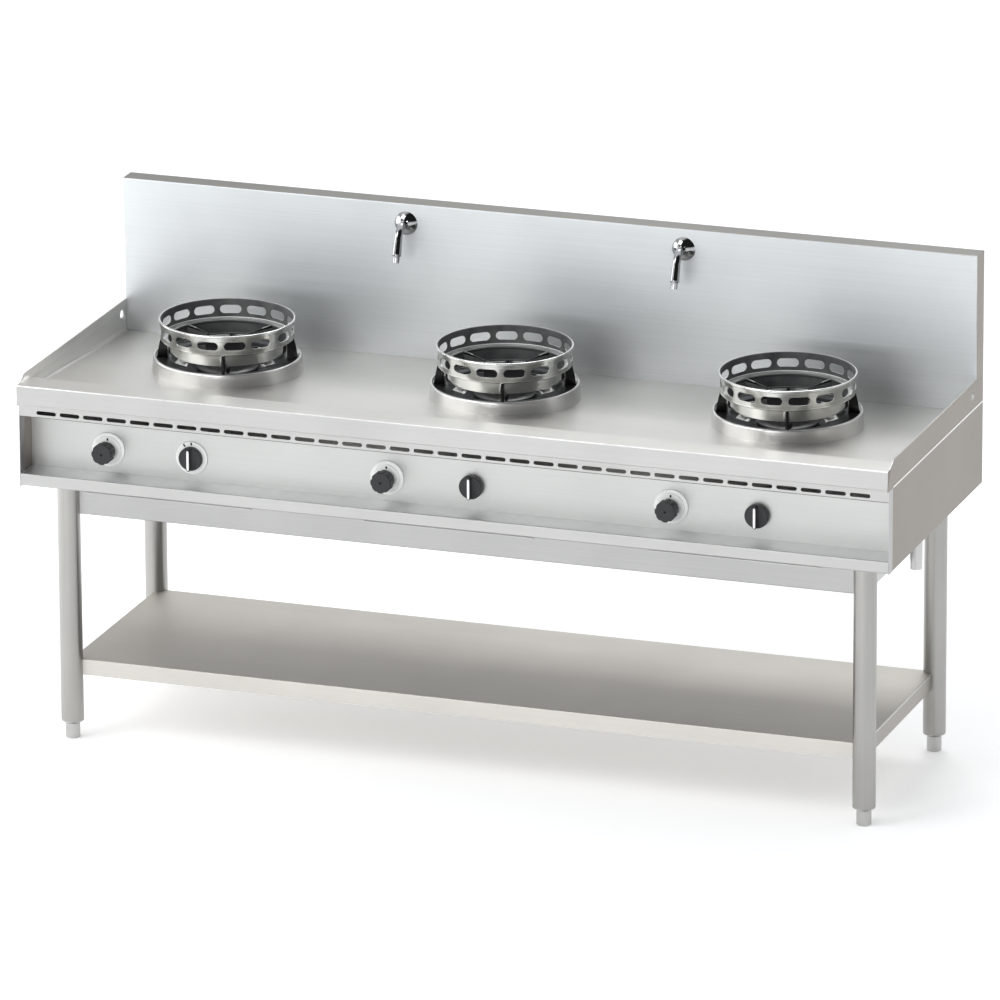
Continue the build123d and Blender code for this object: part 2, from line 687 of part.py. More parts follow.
def make_burner_pan():
    """Shallow pan below a burner, resting on the front and rear rails, its front edge turned down."""
    rear = LEG_DEPTHS["rear"] + PAN_OVERHANG
    low = LIP_BOTTOM - PAN_LIP
    corners = [(rear, low), (rear, LIP_BOTTOM), (PAN_FRONT, LIP_BOTTOM), (PAN_FRONT, low)]
    points = [(from_front(depth), height) for depth, height in corners]
    section = folded_section(points, PAN_SHEET, PAN_SHEET / 2)
    pan = along_x(section, PAN_WIDTH)
    wall_y = (from_front(BODY_SETBACK + LIP_RETURN + PAN_SHEET), from_front(rear - 2 * PAN_SHEET))
    for side in SIDES.values():
        wall_x = sorted((side * PAN_WIDTH / 2, side * (PAN_WIDTH / 2 - PAN_SHEET)))
        pan += block(wall_x, wall_y, (LIP_BOTTOM - PAN_SHEET / 2, LIP_BOTTOM + PAN_WALL))
    return pan


# Burners and wok rings


def make_burner_collar():
    """Turned ring that stands on the sloping deck, its foot cut to the slope, with a ledge for the dish."""
    foot = deck_height(BURNER_FROM_FRONT + COLLAR_FOOT_RADIUS) - SHEET
    ledge_bottom = COLLAR_LEDGE_TOP - COLLAR_LEDGE_SHEET
    outline = [
        (COLLAR_FOOT_RADIUS, foot),
        (COLLAR_TOP_RADIUS, COLLAR_TOP),
        (COLLAR_INNER_RADIUS, COLLAR_TOP),
        (COLLAR_INNER_RADIUS, COLLAR_LEDGE_TOP),
        (COLLAR_INNER_RADIUS - COLLAR_LEDGE_WIDTH, COLLAR_LEDGE_TOP),
        (COLLAR_INNER_RADIUS - COLLAR_LEDGE_WIDTH, ledge_bottom),
        (COLLAR_INNER_RADIUS, ledge_bottom),
        (COLLAR_FOOT_RADIUS - COLLAR_FOOT_WALL, foot),
    ]
    collar = turned(rounded_outline(outline, [0, COLLAR_ROUNDING, 0, 0, 0, 0, 0, 0]))
    reach = COLLAR_FOOT_RADIUS + COLLAR_WALL
    below_deck = sharp_outline(
        [
            (-reach, deck_height(BURNER_FROM_FRONT - reach)),
            (reach, deck_height(BURNER_FROM_FRONT + reach)),
            (reach, foot - reach),
            (-reach, foot - reach),
        ]
    )
    return collar - along_x(below_deck, 2 * reach)


def make_burner_dish():
    """Pressed dish whose rim lies on the collar's ledge and whose throat carries the burner head."""
    throat_edge = DISH_THROAT_RADIUS + DISH_LEDGE
    section = folded_section(
        [
            (DISH_RADIUS, DISH_TOP),
            (DISH_RADIUS - DISH_FLAT, DISH_TOP),
            (throat_edge, DISH_LEDGE_TOP),
            (DISH_THROAT_RADIUS, DISH_LEDGE_TOP),
        ],
        DISH_SHEET,
        DISH_SHEET,
    )
    pilot_hole = post(PILOT_PIPE_RADIUS + LOOSE, DISH_LEDGE_TOP - DISH_DEPTH, DISH_TOP + DISH_DEPTH)
    return turned(section) - Pos(PILOT_OFFSET, PILOT_PIPE_OFFSET, 0) * pilot_hole


def make_burner_head():
    """Cast head with a flange on the dish, gas ports round the crown, and a mixer tube to the front."""
    shoulder = HEAD_SEAT + HEAD_FLANGE
    crown = HEAD_SEAT + HEAD_RISE
    cup_bottom = HEAD_SEAT - HEAD_FLANGE - DISH_SHEET
    outline = [
        (0, crown + HEAD_CROWN),
        (HEAD_RADIUS / 2, crown + HEAD_CROWN),
        (HEAD_RADIUS, crown),
        (HEAD_RADIUS, shoulder),
        (HEAD_FLANGE_RADIUS, shoulder),
        (HEAD_FLANGE_RADIUS, HEAD_SEAT),
        (HEAD_CUP_RADIUS, HEAD_SEAT),
        (HEAD_CUP_RADIUS, cup_bottom),
        (STEM_PIPE_RADIUS, cup_bottom - HEAD_CUP_RADIUS / 2),
        (STEM_PIPE_RADIUS, MIXER_HEIGHT - STEM_PIPE_RADIUS),
        (0, MIXER_HEIGHT - STEM_PIPE_RADIUS),
    ]
    head = turned(sharp_outline(outline))
    towards_front = Pos(0, 0, MIXER_HEIGHT) * Rot(90, 0, 0)
    bell_start = MIXER_LENGTH - BELL_LENGTH
    head += towards_front * post(MIXER_RADIUS, 0, bell_start)
    head += towards_front * post(BELL_RADIUS, bell_start, MIXER_LENGTH)
    head -= towards_front * post(MIXER_BORE, bell_start / 2, MIXER_LENGTH + OVERCUT)
    port_depth = (HEAD_RADIUS - PORT_HEIGHT, HEAD_RADIUS + OVERCUT)
    port = block(port_depth, (-PORT_WIDTH / 2, PORT_WIDTH / 2), (crown - PORT_HEIGHT, crown + OVERCUT))
    return head - [Rot(0, 0, 360 / HEAD_PORTS * index) * port for index in range(HEAD_PORTS)]


def ring_shell():
    """Rolled sheet ring: foot flange, narrow waist, ledge, wide band, and a bead round the rim."""
    section = folded_section(
        [
            (RING_WAIST_RADIUS - RING_FOOT_FLANGE, RING_FOOT),
            (RING_WAIST_RADIUS, RING_FOOT),
            (RING_WAIST_RADIUS, RING_LEDGE),
            (RING_BAND_RADIUS, RING_LEDGE),
            (RING_BAND_RADIUS, RING_RIM),
        ],
        RING_SHEET,
        RING_BEND,
    )
    bead_radius = RING_BAND_RADIUS - RING_SHEET / 2 + RING_BEAD_RADIUS / 2
    bead = Pos(bead_radius, RING_RIM) * Circle(RING_BEAD_RADIUS)
    return turned(section) + turned(bead)


def ring_slots():
    """Cutters for the row of round-ended slots in the band, with a wider web at its seam."""
    outline = SlotOverall(SLOT_LENGTH, SLOT_HEIGHT)
    upright_slot = Rot(90, 0, 0) * extrude(outline, amount=RING_BAND_RADIUS / 6, both=True)
    height = RING_RIM - SLOT_BELOW_RIM
    return [
        Rot(0, 0, SLOT_FIRST - SLOT_PITCH * index) * Pos(0, -RING_BAND_RADIUS, height) * upright_slot
        for index in range(SLOT_COUNT)
    ]


def upright_plate(points, thickness):
    """Plate in the upright plane through the ring's axis and its front; points in radius and height."""
    section = sharp_outline([(-radius, height) for radius, height in points])
    return along_x(section, thickness)


def ring_lug():
    """Outer support plate from the ledge down to the dish."""
    inner = RING_WAIST_RADIUS - RING_SHEET / 2
    foot = RING_BAND_RADIUS + LUG_REACH
    shoulder_radius = (RING_BAND_RADIUS + foot) / 2
    points = [
        (inner, RING_SEAT),
        (foot, RING_SEAT),
        (shoulder_radius, RING_SEAT + LUG_SHOULDER),
        (RING_BAND_RADIUS - RING_SHEET / 2, RING_LEDGE + RING_SHEET / 4),
        (inner, RING_LEDGE + RING_SHEET / 4),
    ]
    return upright_plate(points, LUG_WIDTH)


def ring_fin():
    """Inner fin from the waist towards the flame, its top edge falling inwards."""
    outer = RING_WAIST_RADIUS - RING_SHEET / 2
    top = RING_LEDGE + RING_SHEET
    tip = top - FIN_FALL
    points = [
        (outer, top),
        (FIN_INNER_RADIUS, tip),
        (FIN_INNER_RADIUS, tip - FIN_TIP_HEIGHT),
        (RING_WAIST_RADIUS - RING_FOOT_FLANGE, RING_FOOT + RING_SHEET / 2),
        (outer, RING_FOOT + RING_SHEET / 2),
    ]
    return upright_plate(points, FIN_THICKNESS)


def ring_tab():
    """Short strip flared out from the foot of the waist."""
    inner = RING_WAIST_RADIUS - RING_SHEET
    foot = RING_FOOT + RING_BEND
    outline = [
        (inner, foot + RING_SHEET),
        (inner, foot),
        (inner + TAB_FLARE, foot - TAB_FLARE),
        (inner + TAB_FLARE + RING_SHEET, foot - TAB_FLARE + RING_SHEET),
    ]
    strip = revolve(Plane.XZ * sharp_outline(outline), axis=Axis.Z, revolution_arc=TAB_SPAN)
    return Rot(0, 0, -90 - TAB_SPAN / 2) * strip


def make_wok_ring():
    """Perforated stand for a round wok: a slotted ring on four lugs, with four inner fins between them."""
    ring = ring_shell() - ring_slots()
    step = 360 / LUG_COUNT
    for index in range(LUG_COUNT):
        lug_turn = Rot(0, 0, LUG_FIRST + step * index)
        fin_turn = Rot(0, 0, LUG_FIRST + step * (index + 0.5))
        ring = ring + lug_turn * ring_lug() + fin_turn * ring_fin() + fin_turn * ring_tab()
    return ring


# Controls


def make_valve_bezel():
    """White stepped ring round a gas knob's neck."""
    top = BEZEL_THICKNESS + BEZEL_STEP
    bezel = post(BEZEL_RADIUS, 0, BEZEL_THICKNESS) + post(BEZEL_STEP_RADIUS, BEZEL_THICKNESS, top)
    bezel = chamfer(bezel.edges().filter_by(GeomType.CIRCLE).group_by(Axis.Z)[1:], BEZEL_CHAMFER)
    return bezel - post(KNOB_NECK_RADIUS + LOOSE, -OVERCUT, top + OVERCUT)


def make_valve_knob():
    """Fluted head on a round neck that sinks into the bezel as the knob is pushed."""
    head = post(KNOB_HEAD_RADIUS, KNOB_HEAD_START, KNOB_REACH)
    head = chamfer(head.edges().filter_by(GeomType.CIRCLE), KNOB_CHAMFER)
    flute_centre = KNOB_HEAD_RADIUS + FLUTE_RADIUS - FLUTE_DEPTH
    flute = Pos(flute_centre, 0, 0) * post(FLUTE_RADIUS, KNOB_HEAD_START - OVERCUT, KNOB_REACH + OVERCUT)
    head -= [Rot(0, 0, 360 / FLUTE_COUNT * (index + 0.5)) * flute for index in range(FLUTE_COUNT)]
    knob = head + post(KNOB_NECK_RADIUS, KNOB_TRAVEL + TOUCH, KNOB_HEAD_START)
    knob -= post(SPINDLE_RADIUS + RUNNING, 0, SPINDLE_REACH + KNOB_TRAVEL + TOUCH)
    return knob - post(SCREW_HOLE_RADIUS, KNOB_REACH - SCREW_HOLE_DEPTH, KNOB_REACH + OVERCUT)


def make_valve_spindle():
    """Round spindle from inside the valve body to inside the knob."""
    return post(SPINDLE_RADIUS, -SHEET - SPINDLE_DEPTH, SPINDLE_REACH)


def make_pilot_bezel():
    """Flat white ring behind a pilot knob."""
    ring = post(PILOT_BEZEL_RADIUS, 0, PILOT_BEZEL_THICKNESS)
    ring = chamfer(ring.edges().group_by(Axis.Z)[-1], BEZEL_CHAMFER)
    return ring - post(PILOT_HUB_RADIUS + LOOSE, -OVERCUT, PILOT_BEZEL_THICKNESS + OVERCUT)


def make_pilot_knob():
    """Round disc with a raised grip bar across it, on its own shaft."""
    disc_top = PILOT_DISC_START + PILOT_DISC_THICKNESS
    disc = post(PILOT_DISC_RADIUS, PILOT_DISC_START, disc_top)
    disc = fillet(disc.edges().group_by(Axis.Z)[-1], PILOT_DISC_ROUNDING)
    outline = SlotOverall(PILOT_GRIP_LENGTH, PILOT_GRIP_WIDTH, rotation=90)
    grip = extrude(outline, amount=PILOT_GRIP_REACH - PILOT_DISC_START)
    grip = chamfer(grip.edges().group_by(Axis.Z)[-1], PILOT_GRIP_CHAMFER)
    hub = post(PILOT_HUB_RADIUS, TOUCH, PILOT_DISC_START)
    shaft = post(PILOT_SHAFT_RADIUS, -SHEET - PILOT_SHAFT_DEPTH, TOUCH)
    return disc + Pos(0, 0, PILOT_DISC_START) * grip + hub + shaft


def valve_body(radius, bore, depth):
    """Body behind the panel: a nose through it, a blind bore for the spindle, a saddle on the manifold."""
    back = -SHEET - NOSE_LENGTH
    body = post(NOSE_RADIUS, back, 0) + post(radius, back - VALVE_LENGTH, back)
    body -= post(bore, -SHEET - depth - TOUCH, OVERCUT)
    pipe_z = -SHEET - MANIFOLD_BEHIND_PANEL
    half = SADDLE_WIDTH / 2
    saddle = block((-half, half), (-MANIFOLD_DROP, -radius / 2), (pipe_z - half, pipe_z + half))
    round_manifold = Rot(0, 90, 0) * Cylinder(MANIFOLD_RADIUS + TOUCH / 2, 2 * SADDLE_WIDTH)
    saddle -= Pos(0, -MANIFOLD_DROP, pipe_z) * round_manifold
    return body + (saddle - post(radius / 2, back - VALVE_LENGTH, back))


def make_gas_valve():
    """Main gas valve behind the panel."""
    return valve_body(VALVE_RADIUS, SPINDLE_RADIUS + RUNNING, SPINDLE_DEPTH)


def make_pilot_valve():
    """Smaller valve for the pilot flame."""
    return valve_body(PILOT_VALVE_RADIUS, PILOT_SHAFT_RADIUS + RUNNING, PILOT_SHAFT_DEPTH)


# Gas and water pipes


def make_gas_manifold():
    """Pipe along the front behind the panel, then back and down through the right sole to the inlet."""
    depth = from_front(PANEL_DEPTH + SHEET + MANIFOLD_BEHIND_PANEL)
    height = KNOB_HEIGHT - MANIFOLD_DROP
    start_x = BURNERS["left"] + VALVE_OFFSET - MANIFOLD_END
    inlet_x = WIDTH / 2 - INLET_INSET
    inlet_y = from_front(INLET_FROM_FRONT)
    inlet_z = RAIL_TOP - INLET_DROP
    thread_top = inlet_z + MANIFOLD_THREAD
    points = [
        (start_x, depth, height),
        (inlet_x, depth, height),
        (inlet_x, inlet_y, height),
        (inlet_x, inlet_y, thread_top),
    ]
    at_inlet = Pos(inlet_x, inlet_y, 0)
    thread = post(MANIFOLD_THREAD_RADIUS, inlet_z, thread_top)
    bore = post(MANIFOLD_BORE, inlet_z - OVERCUT, inlet_z + INLET_DROP)
    return pipe(points, MANIFOLD_RADIUS, MANIFOLD_BEND) + at_inlet * thread - at_inlet * bore


def valve_outlet():
    """Distance behind the front face of a valve's rear end."""
    return PANEL_DEPTH + SHEET + NOSE_LENGTH + VALVE_LENGTH


def make_burner_feed():
    """Bent pipe from a gas valve to the injector in the mouth of its burner's mixer tube."""
    injector = MIXER_FRONT - INJECTOR_LENGTH / 2
    start = from_front(valve_outlet())
    points = [
        (VALVE_OFFSET, start, KNOB_HEIGHT),
        (VALVE_OFFSET, start + FEED_RUN, KNOB_HEIGHT),
        (0, from_front(injector) - FEED_RUN, MIXER_HEIGHT),
        (0, from_front(injector), MIXER_HEIGHT),
    ]
    nozzle = Rot(90, 0, 0) * Cylinder(INJECTOR_RADIUS, INJECTOR_LENGTH)
    return pipe(points, FEED_RADIUS, FEED_BEND) + Pos(0, from_front(injector), MIXER_HEIGHT) * nozzle


def make_pilot_burner():
    """Thin pipe from a pilot valve up through the dish, with a small hood beside the burner head."""
    start = from_front(valve_outlet())
    y = from_front(BURNER_FROM_FRONT) + PILOT_PIPE_OFFSET
    top = DISH_TOP - TOUCH
    half_hood = PILOT_HOOD_LENGTH / 2
    points = [(PILOT_OFFSET, start, KNOB_HEIGHT), (PILOT_OFFSET, y, KNOB_HEIGHT), (PILOT_OFFSET, y, top)]
    hood = Pos(PILOT_OFFSET, y, 0) * post(PILOT_HOOD_RADIUS, top - half_hood, top + half_hood)
    return pipe(points, PILOT_PIPE_RADIUS, FEED_BEND) + hood


def make_tap_rosette():
    """Domed cover round a spout where it leaves the splashback."""
    bore = SPOUT_RADIUS + RUNNING
    sphere_radius = (ROSETTE_RADIUS**2 + ROSETTE_DEPTH**2) / (2 * ROSETTE_DEPTH)
    dome = Pos(0, 0, ROSETTE_DEPTH - sphere_radius) * Sphere(sphere_radius)
    dome = dome & post(ROSETTE_RADIUS, 0, ROSETTE_DEPTH + OVERCUT)
    return dome - post(bore, -OVERCUT, ROSETTE_DEPTH + OVERCUT)


def make_tap_spout():
    """Bent tube that swivels in its wall socket, flared towards a collar, with a nozzle below it."""
    wall = from_front(SPLASH_FRONT)
    lean = radians(SPOUT_LEAN)
    down = Vector(0, -sin(lean), -cos(lean))
    corner = Vector(0, wall - SPOUT_REACH, TAP_HEIGHT)
    run = SPOUT_BEND * tan(radians(90 - SPOUT_LEAN) / 2)
    bend_end = corner + down * run
    tip = corner + down * SPOUT_LENGTH
    path = [(0, wall + SPOUT_TAIL, TAP_HEIGHT), corner, corner + down * (run + SPOUT_FLARE)]
    tube = pipe(path, SPOUT_RADIUS, SPOUT_BEND)
    straight = (tip - bend_end).length
    flared = Pos(0, 0, straight / 2) * Cone(SPOUT_RADIUS, SPOUT_RADIUS + SPOUT_FLARE, straight)
    tube += Plane(origin=bend_end, z_dir=down) * flared
    at_tip = Plane(origin=tip, z_dir=down)
    tube += at_tip * post(NOZZLE_RADIUS, 0, NOZZLE_LENGTH)
    return tube - at_tip * post(NOZZLE_BORE, NOZZLE_LENGTH / 2, NOZZLE_LENGTH + OVERCUT)


def make_water_pipe():
    """Pipe inside the splashback: a socket behind each spout, an inlet below the rear of the body."""
    wall = from_front(SPLASH_FRONT) + SHEET
    y = wall + SOCKET_LENGTH + WATER_PIPE_RADIUS / 2
    inlet_z = RAIL_TOP - WATER_INLET_DROP
    thread_top = inlet_z + WATER_THREAD
    points = [
        (TAP_X + SOCKET_RADIUS, y, TAP_HEIGHT),
        (WATER_INLET_X, y, TAP_HEIGHT),
        (WATER_INLET_X, y, thread_top),
    ]
    network = pipe(points, WATER_PIPE_RADIUS, WATER_PIPE_BEND)
    network += Pos(WATER_INLET_X, y, 0) * post(WATER_THREAD_RADIUS, inlet_z, thread_top)
    network -= Pos(WATER_INLET_X, y, 0) * post(WATER_BORE, inlet_z - OVERCUT, thread_top)
    for side in SIDES.values():
        socket = Rot(-90, 0, 0) * post(SOCKET_RADIUS, 0, SOCKET_LENGTH + WATER_PIPE_RADIUS / 2)
        bore = Rot(-90, 0, 0) * post(SPOUT_RADIUS + RUNNING, -OVERCUT, SPOUT_TAIL)
        at_tap = Pos(side * TAP_X, wall, TAP_HEIGHT)
        network = network + at_tap * socket - at_tap * bore
    return network


def make_body_bolt():
    """Hexagon bolt and nut through a sole and the rail below it."""
    sole_top = RAIL_TOP + SHEET
    nut_bottom = RAIL_TOP - SHEET - BOLT_NUT
    hexagon = RegularPolygon(BOLT_HEAD_RADIUS, 6)
    head = Pos(0, 0, sole_top) * extrude(hexagon, amount=BOLT_HEAD)
    nut = Pos(0, 0, nut_bottom) * extrude(hexagon, amount=BOLT_NUT)
    return head + nut + post(BOLT_RADIUS, nut_bottom - BOLT_TIP, sole_top)


# Every piece in its own file

os.makedirs("parts", exist_ok=True)

save("worktop", make_worktop())
save("splashback", make_splashback())
save("splashback_rear_cover", make_splashback_rear_cover())
save("front_frame", make_front_frame())
save("control_panel", make_control_panel())
save("front_lip", make_front_lip())
save("rear_panel", make_rear_panel())
save("undershelf", make_undershelf())
save("rail_front", make_long_rail(LEG_DEPTHS["front"], 1))
save("rail_rear", make_long_rail(LEG_DEPTHS["rear"], -1))
for side_name, side_sign in SIDES.items():
    save(f"side_panel_{side_name}", make_side_panel(side_sign))
    save(f"rail_{side_name}", make_side_rail(side_sign))

leg = make_leg()
leg_plug = make_leg_plug()
foot = make_foot()
leg_places = {}
for end_name, end_depth in LEG_DEPTHS.items():
    for side_name, side_sign in SIDES.items():
        leg_places[f"{end_name}_{side_name}"] = Pos(side_sign * LEG_X, from_front(end_depth), 0)
for place_name, place in leg_places.items():
    save(f"leg_{place_name}", place * leg)
    save(f"foot_{place_name}", place * foot)
save("leg_plugs", Compound(children=[place * leg_plug for place in leg_places.values()]))

pan = make_burner_pan()
collar = make_burner_collar()
dish = make_burner_dish()
head = make_burner_head()
wok_ring = make_wok_ring()
valve_knob = make_valve_knob()
valve_spindle = make_valve_spindle()
pilot_knob = make_pilot_knob()
for burner_name, burner_x in BURNERS.items():
    save(f"burner_pan_{burner_name}", Pos(burner_x, 0, 0) * pan)
    save(f"burner_collar_{burner_name}", at_burner(burner_x, collar))
    save(f"burner_dish_{burner_name}", at_burner(burner_x, dish))
    save(f"burner_head_{burner_name}", at_burner(burner_x, head))
    save(f"wok_ring_{burner_name}", at_burner(burner_x, wok_ring))
    save(f"valve_knob_{burner_name}", on_panel(burner_x + VALVE_OFFSET, valve_knob))
    save(f"valve_spindle_{burner_name}", on_panel(burner_x + VALVE_OFFSET, valve_spindle))
    save(f"pilot_knob_{burner_name}", on_panel(burner_x + PILOT_OFFSET, pilot_knob))

valve_bezel = make_valve_bezel()
gas_valve = make_gas_valve()
pilot_valve = make_pilot_valve()
burner_feed = make_burner_feed()
pilot_burner = make_pilot_burner()
burner_xs = list(BURNERS.values())
save("valve_bezels", Compound(children=[on_panel(x + VALVE_OFFSET, valve_bezel) for x in burner_xs]))
save("pilot_bezel", on_panel(BURNERS["left"] + PILOT_OFFSET, make_pilot_bezel()))
save("gas_valves", Compound(children=[on_panel(x + VALVE_OFFSET, gas_valve) for x in burner_xs]))
save("pilot_valves", Compound(children=[on_panel(x + PILOT_OFFSET, pilot_valve) for x in burner_xs]))
save("burner_feeds", Compound(children=[Pos(x, 0, 0) * burner_feed for x in burner_xs]))
save("pilot_burners", Compound(children=[Pos(x, 0, 0) * pilot_burner for x in burner_xs]))
save("gas_manifold", make_gas_manifold())

spout = make_tap_spout()
rosette = make_tap_rosette()
for side_name, side_sign in SIDES.items():
    save(f"tap_spout_{side_name}", Pos(side_sign * TAP_X, 0, 0) * spout)
wall_y = from_front(SPLASH_FRONT)
rosettes = [Pos(sign * TAP_X, wall_y, TAP_HEIGHT) * Rot(90, 0, 0) * rosette for sign in SIDES.values()]
save("tap_rosettes", Compound(children=rosettes))
save("water_pipe", make_water_pipe())

bolt = make_body_bolt()
bolts = []
for side_sign in SIDES.values():
    for bolt_depth in BOLT_DEPTHS:
        bolts.append(Pos(side_sign * (LEG_X - BOLT_INSET), from_front(bolt_depth), 0) * bolt)
save("body_bolts", Compound(children=bolts))
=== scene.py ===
import bmesh
import bpy
import json
import numpy as np
from math import cos, pi, radians, sin
from mathutils import Matrix, Vector

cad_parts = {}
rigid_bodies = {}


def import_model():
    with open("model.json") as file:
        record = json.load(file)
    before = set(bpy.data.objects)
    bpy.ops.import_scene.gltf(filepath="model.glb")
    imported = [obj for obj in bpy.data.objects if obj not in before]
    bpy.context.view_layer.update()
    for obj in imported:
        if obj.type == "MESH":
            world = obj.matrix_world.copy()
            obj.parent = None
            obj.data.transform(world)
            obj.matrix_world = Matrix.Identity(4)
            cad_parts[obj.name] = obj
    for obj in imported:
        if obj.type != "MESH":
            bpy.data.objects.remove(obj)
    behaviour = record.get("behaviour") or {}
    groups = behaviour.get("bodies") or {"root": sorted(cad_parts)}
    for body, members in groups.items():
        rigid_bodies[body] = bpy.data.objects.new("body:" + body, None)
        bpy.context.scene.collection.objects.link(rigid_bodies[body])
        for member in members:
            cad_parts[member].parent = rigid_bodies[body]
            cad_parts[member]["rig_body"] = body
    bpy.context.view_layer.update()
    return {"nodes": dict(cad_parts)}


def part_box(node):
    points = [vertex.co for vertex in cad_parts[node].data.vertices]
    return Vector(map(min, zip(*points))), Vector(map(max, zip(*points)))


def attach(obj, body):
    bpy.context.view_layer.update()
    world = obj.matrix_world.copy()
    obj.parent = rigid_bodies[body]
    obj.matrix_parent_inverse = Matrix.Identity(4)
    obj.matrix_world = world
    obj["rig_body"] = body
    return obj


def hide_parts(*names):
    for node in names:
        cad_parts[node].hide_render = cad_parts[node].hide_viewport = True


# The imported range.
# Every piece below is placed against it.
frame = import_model()
nodes = frame["nodes"]


# The studio: a long lens on the cook's right, a pale floor, a backdrop and five soft boxes.
# Only the camera and shiny surfaces see the backdrop. A plain pale sky lights all that is matt.
LENS = 358.125
HALF_PIXEL = 0.0005
CAMERA_TURN, CAMERA_HEIGHT, CAMERA_ROLL = radians(19.440), radians(17.628), radians(-0.292)
CAMERA_DISTANCE = 21.930677
CAMERA_AIM = Vector((0.0, 0.0475, 0.600))
SLIDE_RIGHT, SLIDE_UP = -0.015205, -0.045368  # of the camera in its own plane
back = Vector(
    (sin(CAMERA_TURN) * cos(CAMERA_HEIGHT), -cos(CAMERA_TURN) * cos(CAMERA_HEIGHT), sin(CAMERA_HEIGHT))
)
level = Vector((cos(CAMERA_TURN), sin(CAMERA_TURN), 0.0))
rise = back.cross(level)
stand = CAMERA_AIM + level * SLIDE_RIGHT + rise * SLIDE_UP + back * CAMERA_DISTANCE
side = level * cos(CAMERA_ROLL) + rise * sin(CAMERA_ROLL)
top = rise * cos(CAMERA_ROLL) - level * sin(CAMERA_ROLL)
camera = bpy.data.objects.new("camera", bpy.data.cameras.new("camera"))
camera.data.lens = LENS
camera.data.sensor_width = 36.0
camera.data.shift_x = -HALF_PIXEL
camera.data.shift_y = HALF_PIXEL
camera.data.clip_start = 1.0
camera.data.clip_end = 200.0
camera.matrix_world = Matrix(
    (
        (side.x, top.x, back.x, stand.x),
        (side.y, top.y, back.y, stand.y),
        (side.z, top.z, back.z, stand.z),
        (0, 0, 0, 1),
    )
)
bpy.context.scene.collection.objects.link(camera)
bpy.context.scene.camera = camera
bpy.context.scene.view_settings.view_transform = "Standard"


def mesh_piece(name, points, faces, smooth=True):
    """Object at the origin from an array of points and an array of faces."""
    mesh = bpy.data.meshes.new(name)
    mesh.from_pydata(np.asarray(points).reshape(-1, 3).tolist(), [], np.asarray(faces).tolist())
    mesh.polygons.foreach_set("use_smooth", [smooth] * len(mesh.polygons))
    mesh.update()
    piece = bpy.data.objects.new(name, mesh)
    bpy.context.scene.collection.objects.link(piece)
    return piece


def new_material(name):
    """Plain material with its node tree and its principled shader."""
    material = bpy.data.materials.new(name)
    material.use_nodes = True
    return material, material.node_tree, material.node_tree.nodes["Principled BSDF"]


def number(tree, operation, first, second=None):
    """One sum: an operation on one or two sockets or numbers."""
    step = tree.nodes.new("ShaderNodeMath")
    step.operation = operation
    for socket, value in zip(step.inputs, (first, second)):
        if isinstance(value, (int, float)):
            socket.default_value = value
        elif value is not None:
            tree.links.new(value, socket)
    return step.outputs[0]


def backdrop_rays(tree, strength):
    """Number that is the strength for camera, glossy and transmission rays, and nothing for the rest."""
    rays = tree.nodes.new("ShaderNodeLightPath").outputs
    shiny = number(tree, "MAXIMUM", rays["Is Glossy Ray"], rays["Is Transmission Ray"])
    seen = number(tree, "MAXIMUM", rays["Is Camera Ray"], shiny)
    return number(tree, "MULTIPLY", seen, strength)


FLOOR_REACH = 90.0
FLOOR_COLOUR = (0.96, 0.96, 0.96)
FLOOR_LIFT = 0.225  # glow that brings the lit floor up to white
floor_corners = [(FLOOR_REACH * x, FLOOR_REACH * y, 0) for x, y in ((-1, -1), (1, -1), (1, 1), (-1, 1))]
floor = mesh_piece("floor", floor_corners, [(0, 1, 2, 3)], smooth=False)
floor_paint, tree, shader = new_material("pale_floor")
shader.inputs["Base Color"].default_value = (*FLOOR_COLOUR, 1)
shader.inputs["Roughness"].default_value = 0.9
shader.inputs["Specular IOR Level"].default_value = 0.0
glow = tree.nodes.new("ShaderNodeEmission")
tree.links.new(backdrop_rays(tree, FLOOR_LIFT), glow.inputs["Strength"])
glowing_paint = tree.nodes.new("ShaderNodeAddShader")
tree.links.new(shader.outputs[0], glowing_paint.inputs[0])
tree.links.new(glow.outputs[0], glowing_paint.inputs[1])
tree.links.new(glowing_paint.outputs[0], tree.nodes["Material Output"].inputs["Surface"])
floor.data.materials.append(floor_paint)


def vector_step(tree, operation, first, second=None, factor=None):
    """One step on vectors. A dot product or a length gives a number, a scaled or a unit vector a vector."""
    step = tree.nodes.new("ShaderNodeVectorMath")
    step.operation = operation
    tree.links.new(first, step.inputs[0])
    if isinstance(second, tuple):
        step.inputs[1].default_value = second
    elif second is not None:
        tree.links.new(second, step.inputs[1])
    if factor is not None:
        tree.links.new(factor, step.inputs["Scale"])
    return step.outputs["Value" if operation in ("DOT_PRODUCT", "LENGTH") else "Vector"]


def spread(tree, value, span, ends=(0.0, 1.0), smooth=False):
    """Number that goes from the first end to the second as the value goes over the span, and stops there."""
    step = tree.nodes.new("ShaderNodeMapRange")
    step.interpolation_type = "SMOOTHSTEP" if smooth else "LINEAR"
    step.inputs["From Min"].default_value, step.inputs["From Max"].default_value = span
    step.inputs["To Min"].default_value, step.inputs["To Max"].default_value = ends
    tree.links.new(value, step.inputs["Value"])
    return step.outputs[0]


def painted_over(tree, share, below, above):
    """Colour that goes from the one below to the one above as the share goes from 0 to 1."""
    mix = tree.nodes.new("ShaderNodeMix")
    mix.data_type = "RGBA"
    mix.inputs["B"].default_value = (*above, 1)
    tree.links.new(share, mix.inputs["Factor"])
    tree.links.new(below, mix.inputs["A"])
    return mix.outputs["Result"]


